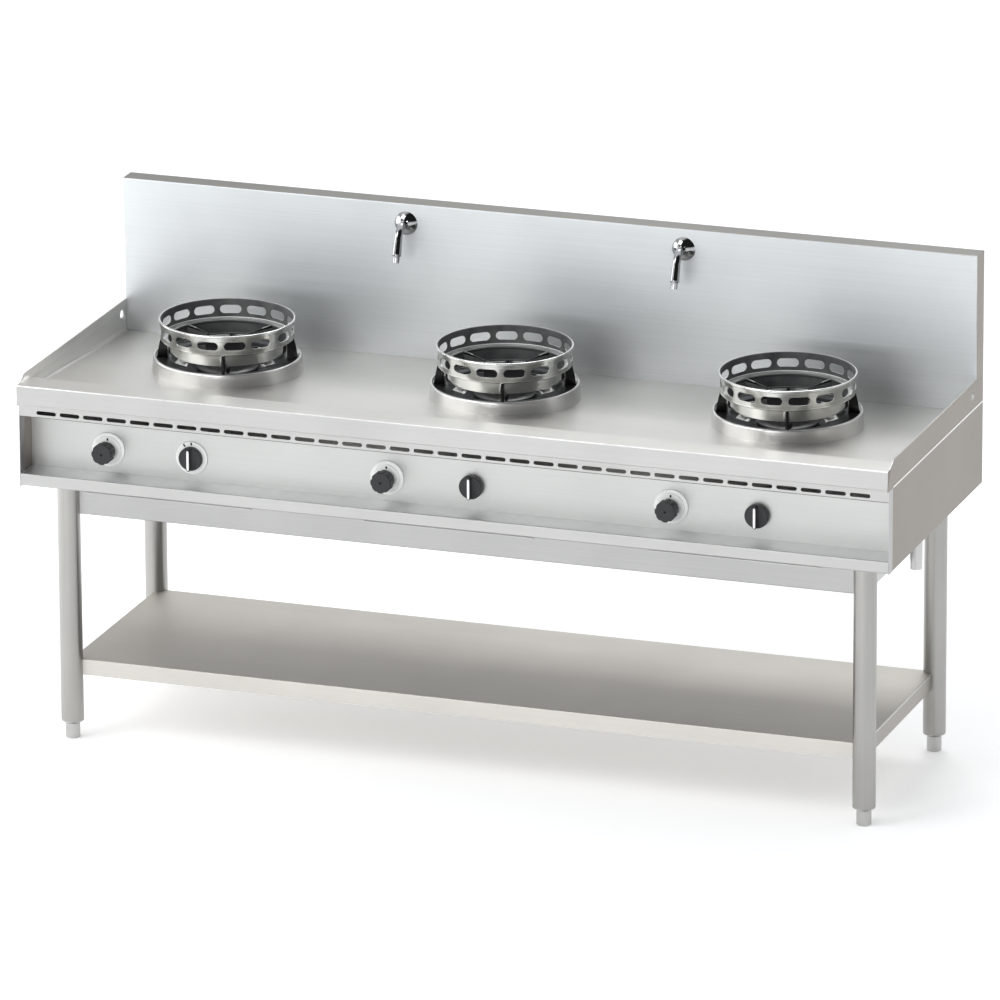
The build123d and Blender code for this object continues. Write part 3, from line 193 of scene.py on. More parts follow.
# The backdrop is white at the horizon, dimmer above it and bright overhead, where the ceiling light is.
# Towards the unlit room behind the camera it is nearly black, which gives chrome its dark streaks.
SKY_COLOUR = (0.96, 0.98, 1.0)
SKY_STRENGTH = 0.72
BACKDROP_SHADES = {0.04: 1.0, 0.30: 0.46, 0.46: 0.52, 0.78: 0.92}  # height of the direction: brightness
ROOM_COLOUR = (0.02, 0.02, 0.02)
ROOM_WAY = (0.5, -0.87, 0.0)
ROOM_EDGE = (0.12, 0.40)  # from outside the room to inside it, measured along its way
ROOM_FOOT = (0.02, 0.16)  # from the floor's edge to the room's full darkness, measured upwards
world = bpy.data.worlds.new("studio")
world.use_nodes = True
tree = world.node_tree
sky = tree.nodes["Background"]
sky.inputs["Color"].default_value = (*SKY_COLOUR, 1)
sky.inputs["Strength"].default_value = SKY_STRENGTH
direction = tree.nodes.new("ShaderNodeTexCoord").outputs["Generated"]
parts = tree.nodes.new("ShaderNodeSeparateXYZ")
tree.links.new(direction, parts.inputs[0])
shades = tree.nodes.new("ShaderNodeValToRGB")
stops = shades.color_ramp.elements
while len(stops) < len(BACKDROP_SHADES):
    stops.new(0.5)
for stop, (height, shade) in zip(stops, BACKDROP_SHADES.items()):
    stop.position = height
    stop.color = (shade, shade, shade, 1)
tree.links.new(parts.outputs["Z"], shades.inputs["Fac"])
behind = spread(tree, vector_step(tree, "DOT_PRODUCT", direction, ROOM_WAY), ROOM_EDGE, smooth=True)
above = spread(tree, parts.outputs["Z"], ROOM_FOOT, smooth=True)
room = number(tree, "MULTIPLY", behind, above)
backdrop = tree.nodes.new("ShaderNodeBackground")
tree.links.new(painted_over(tree, room, shades.outputs["Color"], ROOM_COLOUR), backdrop.inputs["Color"])
choose = tree.nodes.new("ShaderNodeMixShader")
tree.links.new(backdrop_rays(tree, 1.0), choose.inputs[0])
tree.links.new(sky.outputs[0], choose.inputs[1])
tree.links.new(backdrop.outputs[0], choose.inputs[2])
tree.links.new(choose.outputs[0], tree.nodes["World Output"].inputs["Surface"])
bpy.context.scene.world = world


def soft_box(name, place, target, width, height, power):
    """Rectangular lamp at a place, turned to shine on a target. The camera doesn't see it."""
    lamp = bpy.data.lights.new(name, "AREA")
    lamp.shape = "RECTANGLE"
    lamp.size = width
    lamp.size_y = height
    lamp.energy = power
    box = bpy.data.objects.new(name, lamp)
    box.location = place
    box.rotation_mode = "QUATERNION"
    box.rotation_quaternion = (Vector(target) - Vector(place)).to_track_quat("-Z", "Y")
    box.visible_camera = False
    bpy.context.scene.collection.objects.link(box)


# The key lamp stands high on the left and the fill lamp in front. Two small ones low on the left light the
# legs and the sides that look that way, and one high at the rear lights the deck.
soft_box("key_box", place=(-4.5, -5.0, 6.0), target=(0, 0, 0.7), width=4.0, height=4.0, power=200)
soft_box("fill_box", place=(-0.7, -8.0, 2.2), target=(0, 0.3, 0.9), width=3.6, height=2.4, power=145)
soft_box("side_box", place=(-4.2, -1.2, 1.6), target=(0, 0, 0.5), width=2.6, height=2.6, power=35)
soft_box("edge_box", place=(-3.6, 0.5, 1.0), target=(0, 0.3, 0.6), width=1.2, height=1.9, power=18)
soft_box("rear_box", place=(-0.4, 4.0, 6.2), target=(0.2, 0, 0.8), width=2.6, height=2.4, power=100)


# Feet: four turned stainless feet on threaded stems, screwed up into the plugs of the legs.
# Their skirts carry the fine rings that a lathe tool leaves.
ENDS = ("front", "rear")
HANDS = ("left", "right")
NOISE_SPAN = (0.3, 0.7)  # where nearly all of a noise's values lie
GRAIN_DEPTH = 0.00002
GRAIN_SHIFT = (1.0, 1.7, 0.6)  # way in which a seed moves the grain
PATCH_CELLS = 4.0  # to the metre
PATCH_CONTRAST = 0.04
SAME_POINT = 0.000002  # the CAD's loose triangles are joined where their corners are this near
SHARP_ANGLE = radians(32)
AREA_WEIGHT = 80
SAME_WAY = 0.9  # cosine between a face's normal and the way that it looks


def noise(tree, place, cells, detail=2.0, roughness=0.5):
    """Number from a noise with so many cells to the metre."""
    cloud = tree.nodes.new("ShaderNodeTexNoise")
    cloud.inputs["Scale"].default_value = cells
    cloud.inputs["Detail"].default_value = detail
    cloud.inputs["Roughness"].default_value = roughness
    tree.links.new(place, cloud.inputs["Vector"])
    return cloud.outputs["Fac"]


def two_shades(tree, value, colour, contrast, span=NOISE_SPAN):
    """Colour that goes from darker to lighter, each by the contrast, as the value goes over the span."""
    tint = tree.nodes.new("ShaderNodeValToRGB")
    for stop, position, shade in zip(tint.color_ramp.elements, span, (1.0 - contrast, 1.0 + contrast)):
        stop.position = position
        stop.color = (*[part * shade for part in colour], 1)
    tree.links.new(value, tint.inputs["Fac"])
    return tint.outputs["Color"]


def polish(tree, shader, lines, roughness, contrast):
    """Makes a shader metal, with a roughness that the lines move by twice the contrast."""
    ends = (roughness * (1.0 - 2 * contrast), roughness * (1.0 + 2 * contrast))
    tree.links.new(spread(tree, lines, NOISE_SPAN, ends), shader.inputs["Roughness"])
    shader.inputs["Metallic"].default_value = 1.0


def dent(tree, shader, height, strength, depth):
    """Lets a height move a shader's normal. The depth is in metres."""
    bump = tree.nodes.new("ShaderNodeBump")
    bump.inputs["Strength"].default_value = strength
    bump.inputs["Distance"].default_value = depth
    tree.links.new(height, bump.inputs["Height"])
    tree.links.new(bump.outputs[0], shader.inputs["Normal"])


def brushed_steel(name, colour, roughness, grain, contrast=0.05, seed=0.0):
    """Steel with a brushed grain. Noise is stretched to the grain's length along each axis, in metres. It
    moves colour and roughness by the contrast, and a broad noise moves the colour once more, in patches."""
    material, tree, shader = new_material(name)
    place = tree.nodes.new("ShaderNodeTexCoord").outputs["Object"]
    stretch = tree.nodes.new("ShaderNodeMapping")
    stretch.inputs["Scale"].default_value = [1.0 / length for length in grain]
    stretch.inputs["Location"].default_value = [seed * part for part in GRAIN_SHIFT]
    tree.links.new(place, stretch.inputs["Vector"])
    lines = noise(tree, stretch.outputs[0], 1.0, detail=4.0, roughness=0.65)
    tint = two_shades(tree, lines, colour, contrast)
    patch_ends = (1.0 - PATCH_CONTRAST, 1.0 + PATCH_CONTRAST)
    patches = spread(tree, noise(tree, place, PATCH_CELLS), NOISE_SPAN, patch_ends)
    tree.links.new(vector_step(tree, "SCALE", tint, factor=patches), shader.inputs["Base Color"])
    polish(tree, shader, lines, roughness, contrast)
    dent(tree, shader, lines, strength=0.4, depth=GRAIN_DEPTH)
    return material


def finish_faces(mesh, own_finishes):
    """Gives some flat faces a finish of their own. Each finish comes with a way and a depth along it: faces
    that look that way, and lie beyond that depth, get it. A later finish overrules an earlier one."""
    count = len(mesh.polygons)
    normals, centres = np.empty(count * 3, dtype=np.float32), np.empty(count * 3, dtype=np.float32)
    mesh.polygons.foreach_get("normal", normals)
    mesh.polygons.foreach_get("center", centres)
    chosen = np.zeros(count, dtype=np.int32)
    for index, (finish, way, depth) in enumerate(own_finishes, start=1):
        mesh.materials.append(finish)
        way = np.array(way, dtype=np.float32)
        looks_that_way = normals.reshape(-1, 3) @ way > SAME_WAY
        lies_beyond = centres.reshape(-1, 3) @ way > depth
        chosen[looks_that_way & lies_beyond] = index
    mesh.polygons.foreach_set("material_index", chosen)


def rounded_copy(name, finish, own_finishes=()):
    """Shown copy of a CAD node whose loose triangles are joined, with normals that run smoothly over curves
    and stay sharp at bends beyond the sharp angle."""
    source = nodes[name]
    copy = bpy.data.objects.new(name + "_skin", source.data.copy())
    bpy.context.scene.collection.objects.link(copy)
    work = bmesh.new()
    work.from_mesh(copy.data)
    bmesh.ops.remove_doubles(work, verts=work.verts, dist=SAME_POINT)
    work.to_mesh(copy.data)
    work.free()
    copy.data.shade_smooth()
    copy.data.set_sharp_from_angle(angle=SHARP_ANGLE)
    even = copy.modifiers.new("even_normals", "WEIGHTED_NORMAL")
    even.keep_sharp = True
    even.weight = AREA_WEIGHT
    copy.data.materials.clear()
    copy.data.materials.append(finish)
    finish_faces(copy.data, own_finishes)
    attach(copy, source["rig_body"])
    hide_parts(name)


foot_steel = brushed_steel("foot_steel", (0.50, 0.50, 0.49), 0.32, grain=(0.05, 0.05, 0.0012))
for end in ENDS:
    for hand in HANDS:
        rounded_copy(f"foot_{end}_{hand}", foot_steel)
rounded_copy("leg_plugs", foot_steel)


# Legs: polished stainless tube, 50.8 mm thick, drawn lengthwise and welded to the rails above.
# The grain runs up the tube.
tube_steel = brushed_steel("tube_steel", (0.395, 0.388, 0.372), 0.32, grain=(0.002, 0.002, 0.5))
for end in ENDS:
    for hand in HANDS:
        rounded_copy(f"leg_{end}_{hand}", tube_steel)


# Frame rails: folded stainless channels between the legs' heads, brushed along their length.
# They carry the body, which is bolted to the side rails.
rail_steel = brushed_steel("rail_steel", (0.43, 0.43, 0.425), 0.42, grain=(0.6, 0.003, 0.0015), seed=3.0)
side_rail_steel = brushed_steel(
    "side_rail_steel", (0.60, 0.60, 0.59), 0.42, grain=(0.003, 0.6, 0.0015), seed=5.0
)
for end in ENDS:
    rounded_copy(f"rail_{end}", rail_steel)
for hand in HANDS:
    rounded_copy(f"rail_{hand}", side_rail_steel)


# Undershelf: a tray of brushed stainless sheet with folded edges, fixed between the legs near the floor.
# Its right end has a darker copy of the finish as painted shade, and the bend above that end a bright one as
# a painted highlight.
RIGHT, RIGHT_BEND = (1, 0, 0), (0.707, 0, 0.707)
SHELF_END_DEPTH, SHELF_BEND_DEPTH = 0.9, 0.7
shelf_steel = brushed_steel("shelf_steel", (0.64, 0.62, 0.585), 0.50, grain=(0.7, 0.0018, 0.0018), seed=7.0)
# Painted shade on the right end, and a painted highlight on the bend above it.
shelf_end_painted_shade = brushed_steel(
    "shelf_end_painted_shade", (0.41, 0.39, 0.36), 0.42, grain=(0.003, 0.6, 0.0015), seed=9.0
)
shelf_bend_painted_highlight = brushed_steel(
    "shelf_bend_painted_highlight", (0.96, 0.96, 0.95), 0.36, grain=(0.003, 0.6, 0.003), seed=10.0
)
shelf_finishes = [(shelf_end_painted_shade, RIGHT, SHELF_END_DEPTH), (shelf_bend_painted_highlight, RIGHT_BEND, SHELF_BEND_DEPTH)]
rounded_copy("undershelf", shelf_steel, shelf_finishes)


# Front frame: folded stainless sheet with a row of punched vent slots, fixed between the side panels.
# The grain runs along the range, and the bend that looks down at the control panel is painted nearly black as
# painted shade.
ANYWHERE = -2.0  # depth that all faces lie beyond
DOWN_BEND = (0, -0.64, -0.77)
front_steel = brushed_steel("front_steel", (0.485, 0.485, 0.478), 0.42, grain=(0.8, 0.003, 0.0014), seed=11.0)
# Painted shade: the bend that looks down is painted nearly black.
down_bend_painted_shade = brushed_steel("down_bend_painted_shade", (0.10, 0.10, 0.10), 0.45, grain=(0.8, 0.003, 0.003), seed=12.0)
rounded_copy("front_frame", front_steel, [(down_bend_painted_shade, DOWN_BEND, ANYWHERE)])


# Control panel: stainless sheet set back under the front frame, with six holes for the knobs' shafts.
# It is brushed along the range.
panel_steel = brushed_steel("panel_steel", (0.525, 0.53, 0.52), 0.42, grain=(0.8, 0.003, 0.0014), seed=13.0)
rounded_copy("control_panel", panel_steel)


# Front lip: the folded sheet below the recess, brushed along the range.
# Its top, which closes the recess, has a lighter copy of the finish as painted light.
UP = (0, 0, 1)
# Painted light: the lip's top has a lighter copy of the front's finish.
lip_top_painted_light = brushed_steel("lip_top_painted_light", (0.80, 0.81, 0.82), 0.42, grain=(0.8, 0.003, 0.003), seed=15.0)
rounded_copy("front_lip", front_steel, [(lip_top_painted_light, UP, ANYWHERE)])


# Rear panel: plain stainless sheet that closes the back of the body.
# It has the control panel's finish.
rounded_copy("rear_panel", panel_steel)


# Side panels: folded stainless sheet, brushed from front to rear, with the worktop's sides welded on top.
# Their darker colour is painted shade, and a painted highlight runs along the crease under the worktop's
# sides, from behind the fascia to the rear.
# Where the painted highlight lies along the crease, and its colour.
CREASE_HIGHLIGHT_BOTTOM, CREASE_HIGHLIGHT_TOP, CREASE_HIGHLIGHT_FRONT = 0.7888, 0.7922, -0.311
CREASE_HIGHLIGHT_COLOUR = (0.95, 0.95, 0.94)


def where(tree, *tests):
    """One where every test holds, and nothing elsewhere. A test is a comparison, a socket and a limit."""
    holds = 1.0
    for test, value, limit in tests:
        holds = number(tree, "MULTIPLY", holds, number(tree, test, value, limit))
    return holds


def lay_on(material, share, colour):
    """Lays a colour over a finish, as thickly as the share says."""
    socket = material.node_tree.nodes["Principled BSDF"].inputs["Base Color"]
    finish = socket.links[0].from_socket
    material.node_tree.links.new(painted_over(material.node_tree, share, finish, colour), socket)


# Painted shade: the sides' steel is darker than the rest of the steel.
side_steel_painted_shade = brushed_steel("side_steel_painted_shade", (0.302, 0.272, 0.244), 0.42, grain=(0.003, 0.8, 0.0014), seed=17.0)
tree = side_steel_painted_shade.node_tree
spot = tree.nodes.new("ShaderNodeSeparateXYZ")
tree.links.new(tree.nodes.new("ShaderNodeTexCoord").outputs["Object"], spot.inputs[0])
on_crease_highlight = where(
    tree,
    ("GREATER_THAN", spot.outputs["Z"], CREASE_HIGHLIGHT_BOTTOM),
    ("LESS_THAN", spot.outputs["Z"], CREASE_HIGHLIGHT_TOP),
    ("GREATER_THAN", spot.outputs["Y"], CREASE_HIGHLIGHT_FRONT),
)
lay_on(side_steel_painted_shade, on_crease_highlight, CREASE_HIGHLIGHT_COLOUR)
for hand in HANDS:
    rounded_copy(f"side_panel_{hand}", side_steel_painted_shade)


# Burner pans: shallow folded trays of stainless sheet under the burners, with the rails' finish.
# They hang in the body, and only their front edges show under the lip.
BURNERS = ("left", "middle", "right")
for burner in BURNERS:
    rounded_copy(f"burner_pan_{burner}", rail_steel)


# Bolts that hold the body's soles to the frame's side rails.
# They are plain stainless hexagons, and the CAD's own mesh shows them.
bolt_steel = brushed_steel("bolt_steel", (0.62, 0.62, 0.62), 0.35, grain=(0.004, 0.004, 0.004))
bolt_slots = nodes["body_bolts"].data.materials
bolt_slots.clear()
bolt_slots.append(bolt_steel)


# Worktop: one folded tray with a sunk deck that drains to the rear, brushed along the range.
# The fascia has the front frame's finish and the sides the side panels' painted shade. Faces that look
# right, like the left upstand's inside, get a lighter copy as painted light; the front bend is a painted
# highlight.
LEFT, FRONT, FRONT_BEND = (-1, 0, 0), (0, -1, 0), (0, -0.707, 0.707)
OUTER_DEPTH, FASCIA_DEPTH, FRONT_BEND_DEPTH = 0.9985, 0.345, 0.8
deck_steel = brushed_steel("deck_steel", (0.66, 0.65, 0.625), 0.42, grain=(0.9, 0.0022, 0.0022), seed=19.0)
# Painted highlight on the front bend, and painted light on the faces that look right.
front_bend_painted_highlight = brushed_steel("front_bend_painted_highlight", (0.97, 0.97, 0.97), 0.36, grain=(0.9, 0.003, 0.003), seed=29.0)
upstand_painted_light = brushed_steel(
    "upstand_painted_light", (0.93, 0.92, 0.90), 0.42, grain=(0.003, 0.8, 0.0014), seed=31.0
)
worktop_finishes = [
    (upstand_painted_light, RIGHT, ANYWHERE),
    (side_steel_painted_shade, RIGHT, OUTER_DEPTH),
    (side_steel_painted_shade, LEFT, OUTER_DEPTH),
    (front_steel, FRONT, FASCIA_DEPTH),
    (front_bend_painted_highlight, FRONT_BEND, FRONT_BEND_DEPTH),
]
rounded_copy("worktop", deck_steel, worktop_finishes)


# Splashback: a folded skin with a flat rear cover, welded to the rear of the worktop.
# Both are brushed along the range. The skin's ends have the side panels' painted shade, and its top edge a
# darker copy as painted shade.
SPLASH_END_DEPTH, SPLASH_TOP_DEPTH = 0.9, 1.13
splash_steel = brushed_steel("splash_steel", (0.65, 0.675, 0.69), 0.48, grain=(0.9, 0.003, 0.0016), seed=23.0)
# Painted shade on the skin's top edge.
splash_top_painted_shade = brushed_steel("splash_top_painted_shade", (0.33, 0.325, 0.31), 0.42, grain=(0.9, 0.003, 0.003), seed=27.0)
splash_finishes = [
    (side_steel_painted_shade, RIGHT, SPLASH_END_DEPTH),
    (side_steel_painted_shade, LEFT, SPLASH_END_DEPTH),
    (splash_top_painted_shade, UP, SPLASH_TOP_DEPTH),
]
rounded_copy("splashback", splash_steel, splash_finishes)
rounded_copy("splashback_rear_cover", panel_steel)


# Gas work behind the panel: a steel manifold with brass valves, and thin pipes to burners and pilots.
# The pilot pipes end in the flames' reach, so they are black with soot. The water pipe behind the
# splashback is of the manifold's steel.
pipe_steel = brushed_steel("pipe_steel", (0.60, 0.60, 0.59), 0.40, grain=(0.01, 0.01, 0.01))
sooty_pipe = brushed_steel("sooty_pipe", (0.09, 0.09, 0.09), 0.55, grain=(0.01, 0.01, 0.01))
valve_brass = brushed_steel("valve_brass", (0.72, 0.58, 0.32), 0.35, grain=(0.003, 0.003, 0.003))
rounded_copy("gas_manifold", pipe_steel)
rounded_copy("burner_feeds", pipe_steel)
rounded_copy("pilot_burners", sooty_pipe)
rounded_copy("gas_valves", valve_brass)
rounded_copy("pilot_valves", valve_brass)
rounded_copy("water_pipe", pipe_steel)
for burner in BURNERS:
    rounded_copy(f"valve_spindle_{burner}", pipe_steel)


# Knobs: dark moulded plastic heads pushed on the valves' spindles.
# Each gas knob, and the left pilot knob, turns in a white moulded bezel.
MOTTLE_CELLS = 40.0  # to the metre
MOTTLE_SPAN = (0.35, 0.65)
GLOSS_SWING = 0.06
SPARK_DEPTH = 0.00008


def moulded_plastic(name, colour, roughness, mottle=0.03, grain=0.0012, shine=0.5):
    """Moulded plastic with a fine spark-eroded texture: small noise in the bump, and broad noise in the gloss
    and, by the mottle, in the colour."""
    material, tree, shader = new_material(name)
    shader.inputs["Specular IOR Level"].default_value = shine
    place = tree.nodes.new("ShaderNodeTexCoord").outputs["Object"]
    broad = noise(tree, place, MOTTLE_CELLS)
    gloss = spread(tree, broad, NOISE_SPAN, (roughness - GLOSS_SWING, roughness + GLOSS_SWING))
    tree.links.new(gloss, shader.inputs["Roughness"])
    tree.links.new(two_shades(tree, broad, colour, mottle, MOTTLE_SPAN), shader.inputs["Base Color"])
    dent(tree, shader, noise(tree, place, 1.0 / grain, detail=3.0), strength=0.25, depth=SPARK_DEPTH)
    return material


knob_plastic = moulded_plastic("knob_plastic", (0.026, 0.026, 0.029), 0.42, shine=0.32)
bezel_plastic = moulded_plastic("bezel_plastic", (0.84, 0.84, 0.83), 0.30, mottle=0.01)
rounded_copy("valve_bezels", bezel_plastic)
rounded_copy("pilot_bezel", bezel_plastic)
for burner in BURNERS:
    rounded_copy(f"valve_knob_{burner}", knob_plastic)
    rounded_copy(f"pilot_knob_{burner}", knob_plastic)


# Inlays: thin pieces of moulded plastic, set a little into the face that they mark. A white pointer strip
# lies along the grip of each pilot knob, a dark plug covers the screw of each gas knob, and small dark
# index marks are in the white bezels, one above each gas knob and two beside the left pilot knob.
INLAY_CROWN, INLAY_SUNK = 0.0005, 0.0001
POINTER_HALF_WIDTH, POINTER_HALF_LENGTH, POINTER_SUNK = 0.0028, 0.0232, 0.00005
GAS_MARK_HALF_WIDTH, GAS_MARK_HALF_LENGTH, GAS_MARK_RADIUS = 0.0021, 0.0032, 0.0245
PLUG_RADIUS, PLUG_CROWN = 0.0032, 0.0003
PILOT_MARK_HALF_WIDTH, PILOT_MARK_HALF_LENGTH, PILOT_MARK_RADIUS = 0.0020, 0.0036, 0.0320
PILOT_MARK_TURNS = {"off": 0.0, "on": -31.0}
INLAY_COLUMNS, INLAY_ROWS = 48, 9


def inlay(name, centre, half_width, half_length, turn=0.0, crown=INLAY_CROWN, squareness=5.0):
    """Low pillow with a rounded-oblong outline, standing on a face and looking at the cook. Round the
    outline, each side is a cosine or sine to the power of 2 over the squareness. Towards the middle the
    height rises as one less the fourth power of the distance. The turn is in degrees clockwise."""
    around = np.linspace(0, 2 * pi, INLAY_COLUMNS, endpoint=False)[None, :]
    outwards = np.linspace(0, 1, INLAY_ROWS)[:, None]
    flat_x = half_width * np.sign(np.cos(around)) * np.abs(np.cos(around)) ** (2 / squareness) * outwards
    flat_z = half_length * np.sign(np.sin(around)) * np.abs(np.sin(around)) ** (2 / squareness) * outwards
    depth = -crown * (1 - outwards**4) + 0 * around
    x = centre[0] + flat_x * cos(radians(turn)) + flat_z * sin(radians(turn))
    z = centre[2] - flat_x * sin(radians(turn)) + flat_z * cos(radians(turn))
    points = np.stack((x, centre[1] + depth, z), axis=-1)
    rows, columns = np.meshgrid(np.arange(INLAY_ROWS - 1), np.arange(INLAY_COLUMNS), indexing="ij")
    inner, outer, after = rows * INLAY_COLUMNS, (rows + 1) * INLAY_COLUMNS, (columns + 1) % INLAY_COLUMNS
    faces = np.stack((inner + columns, inner + after, outer + after, outer + columns), axis=-1)
    return mesh_piece(name, points, faces.reshape(-1, 4))


def set_in(face, knob, sunk=INLAY_SUNK):
    """Point on a knob's axis, sunk behind the front of a face."""
    low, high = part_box(knob)
    front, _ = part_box(face)
    return (low.x + high.x) / 2, front.y + sunk, (low.z + high.z) / 2


def fit_inlay(piece, plastic, body):
    """Gives an inlay its plastic, and lets it ride on the body that it is set in."""
    piece.data.materials.append(plastic)
    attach(piece, body)


pointer_plastic = moulded_plastic("pointer_plastic", (0.88, 0.88, 0.87), 0.32, mottle=0.01)
mark_plastic = moulded_plastic("mark_plastic", (0.012, 0.012, 0.013), 0.55, shine=0.05)
for burner in BURNERS:
    knob = f"pilot_knob_{burner}"
    centre = set_in(knob, knob, POINTER_SUNK)
    strip = inlay(f"pointer_{burner}", centre, POINTER_HALF_WIDTH, POINTER_HALF_LENGTH)
    fit_inlay(strip, pointer_plastic, knob)
for burner in BURNERS:
    x, y, z = set_in("valve_bezels", f"valve_knob_{burner}")
    above = (x, y, z + GAS_MARK_RADIUS)
    mark = inlay(f"gas_mark_{burner}", above, GAS_MARK_HALF_WIDTH, GAS_MARK_HALF_LENGTH)
    fit_inlay(mark, mark_plastic, "range")
for burner in BURNERS:
    knob = f"valve_knob_{burner}"
    centre = set_in(knob, knob)
    plug = inlay(f"knob_plug_{burner}", centre, PLUG_RADIUS, PLUG_RADIUS, crown=PLUG_CROWN, squareness=2.0)
    fit_inlay(plug, mark_plastic, f"gas_knob_{burner}")
for setting, turn in PILOT_MARK_TURNS.items():
    x, y, z = set_in("pilot_bezel", "pilot_knob_left")
    beside = (x + PILOT_MARK_RADIUS * sin(radians(turn)), y, z + PILOT_MARK_RADIUS * cos(radians(turn)))
    mark = inlay(f"pilot_mark_{setting}", beside, PILOT_MARK_HALF_WIDTH, PILOT_MARK_HALF_LENGTH, turn)
    fit_inlay(mark, mark_plastic, "range")


# Burner collars, dishes and heads, three of each, round one axis in each opening of the deck.
# The collars are heavy turned rings on the deck, polished round and round. The dishes are pressed steel
# in dark enamel, blacker towards the axis. The heads are grey cast iron with a lighter turned top.
BURNER_PITCH, BURNER_Y = 0.652, 0.0355
TURNING_CONTRAST = 0.06
TURNING_DEPTH = 0.00003
DISH_MIDDLE_COLOUR = (0.030, 0.030, 0.032)
DISH_MIDDLE_EDGE = (0.140, 0.132)  # radius where the darkening begins, and where it is full
HEAD_TOP_DEPTH = 0.8


def from_burner_axis(tree, place):
    """Point as the nearest burner's axis sees it, as a vector with no height, and its height. X is wrapped
    to plus or minus half the burners' pitch, and Y is less by the burners' depth."""
    split = tree.nodes.new("ShaderNodeSeparateXYZ")
    tree.links.new(place, split.inputs[0])
    across = tree.nodes.new("ShaderNodeMath")
    across.operation = "WRAP"
    across.inputs[1].default_value = BURNER_PITCH / 2
    across.inputs[2].default_value = -BURNER_PITCH / 2
    tree.links.new(split.outputs["X"], across.inputs[0])
    flat = tree.nodes.new("ShaderNodeCombineXYZ")
    tree.links.new(across.outputs[0], flat.inputs["X"])
    tree.links.new(number(tree, "SUBTRACT", split.outputs["Y"], BURNER_Y), flat.inputs["Y"])
    return flat.outputs[0], split.outputs["Z"]


def turned_steel(name, colour, roughness, ring=0.0012):
    """Steel turned about a burner's axis. Noise over the distance from that axis and the height moves colour
    and roughness in fine rings, as wide as the ring in metres."""
    material, tree, shader = new_material(name)
    flat, height = from_burner_axis(tree, tree.nodes.new("ShaderNodeTexCoord").outputs["Object"])
    turned_place = tree.nodes.new("ShaderNodeCombineXYZ")
    tree.links.new(vector_step(tree, "LENGTH", flat), turned_place.inputs["X"])
    tree.links.new(height, turned_place.inputs["Y"])
    rings = noise(tree, turned_place.outputs[0], 1.0 / ring, detail=3.0)
    tree.links.new(two_shades(tree, rings, colour, TURNING_CONTRAST), shader.inputs["Base Color"])
    polish(tree, shader, rings, roughness, TURNING_CONTRAST)
    dent(tree, shader, rings, strength=0.3, depth=TURNING_DEPTH)
    return material


collar_steel = turned_steel("collar_steel", (0.81, 0.81, 0.80), 0.31)
dish_enamel = turned_steel("dish_enamel", (0.12, 0.12, 0.12), 0.34)
tree = dish_enamel.node_tree
flat, _ = from_burner_axis(tree, tree.nodes.new("ShaderNodeTexCoord").outputs["Object"])
darker_middle = spread(tree, vector_step(tree, "LENGTH", flat), DISH_MIDDLE_EDGE)
lay_on(dish_enamel, darker_middle, DISH_MIDDLE_COLOUR)
head_iron = moulded_plastic("head_iron", (0.05, 0.05, 0.05), 0.75, mottle=0.15, grain=0.002)
head_face = turned_steel("head_face", (0.13, 0.13, 0.13), 0.40)
for burner in BURNERS:
    rounded_copy(f"burner_collar_{burner}", collar_steel)
    rounded_copy(f"burner_dish_{burner}", dish_enamel)
    rounded_copy(f"burner_head_{burner}", head_iron, [(head_face, UP, HEAD_TOP_DEPTH)])


# Wok rings: slotted bands of bright rolled sheet with a bead round the rim, on four welded lugs.
# They are loose, and lift off their dishes. Their inside, the lugs and what is under the ledge are painted
# dark as painted shade, and the ledge's corner and the bead's outside are painted bright as painted
# highlights.
RING_COLOUR = (0.68, 0.69, 0.67)
INSIDE_SHADE_COLOUR = (0.060, 0.063, 0.065)
UNDER_SHADE_COLOUR = (0.045, 0.045, 0.045)
RIM_HIGHLIGHT_COLOUR = (0.90, 0.91, 0.90)
INSIDE_SHADE_GROWTH = 1.6  # of the painted shade inside, as a face turns inwards
INSIDE_SHADE_CELLS, INSIDE_SHADE_THINNEST, INSIDE_SHADE_SWING = 25.0, 0.8, 0.3
INSIDE_SHADE_METAL_LOSS, INSIDE_SHADE_DULLING = 0.8, 0.16
LOOKS_DOWN, LOOKS_OUT = -0.8, 0.15  # parts of a normal along the height, and away from the axis
BAND_INNER_RADIUS = 0.1462
SHADE_LINE_BOTTOM, SHADE_LINE_TOP = 0.8655, 0.8693
CORNER_TOP = 0.8745
BEAD_BOTTOM = 0.9118
LUG_TURN = radians(17.2)
LUG_HALF_WIDTH, LUG_INNER_RADIUS, LUG_TOP = 0.0042, 0.1325, 0.8705
ROLLED_SPAN = (0.88, 0.93)
ring_steel = turned_steel("ring_steel", RING_COLOUR, 0.36, ring=0.002)
tree = ring_steel.node_tree
shader = tree.nodes["Principled BSDF"]
place = tree.nodes.new("ShaderNodeTexCoord").outputs["Object"]
flat, height = from_burner_axis(tree, place)
distance = vector_step(tree, "LENGTH", flat)
outwards = vector_step(tree, "NORMALIZE", flat)
normal = tree.nodes.new("ShaderNodeNewGeometry").outputs["Normal"]
faces_out = vector_step(tree, "DOT_PRODUCT", normal, outwards)
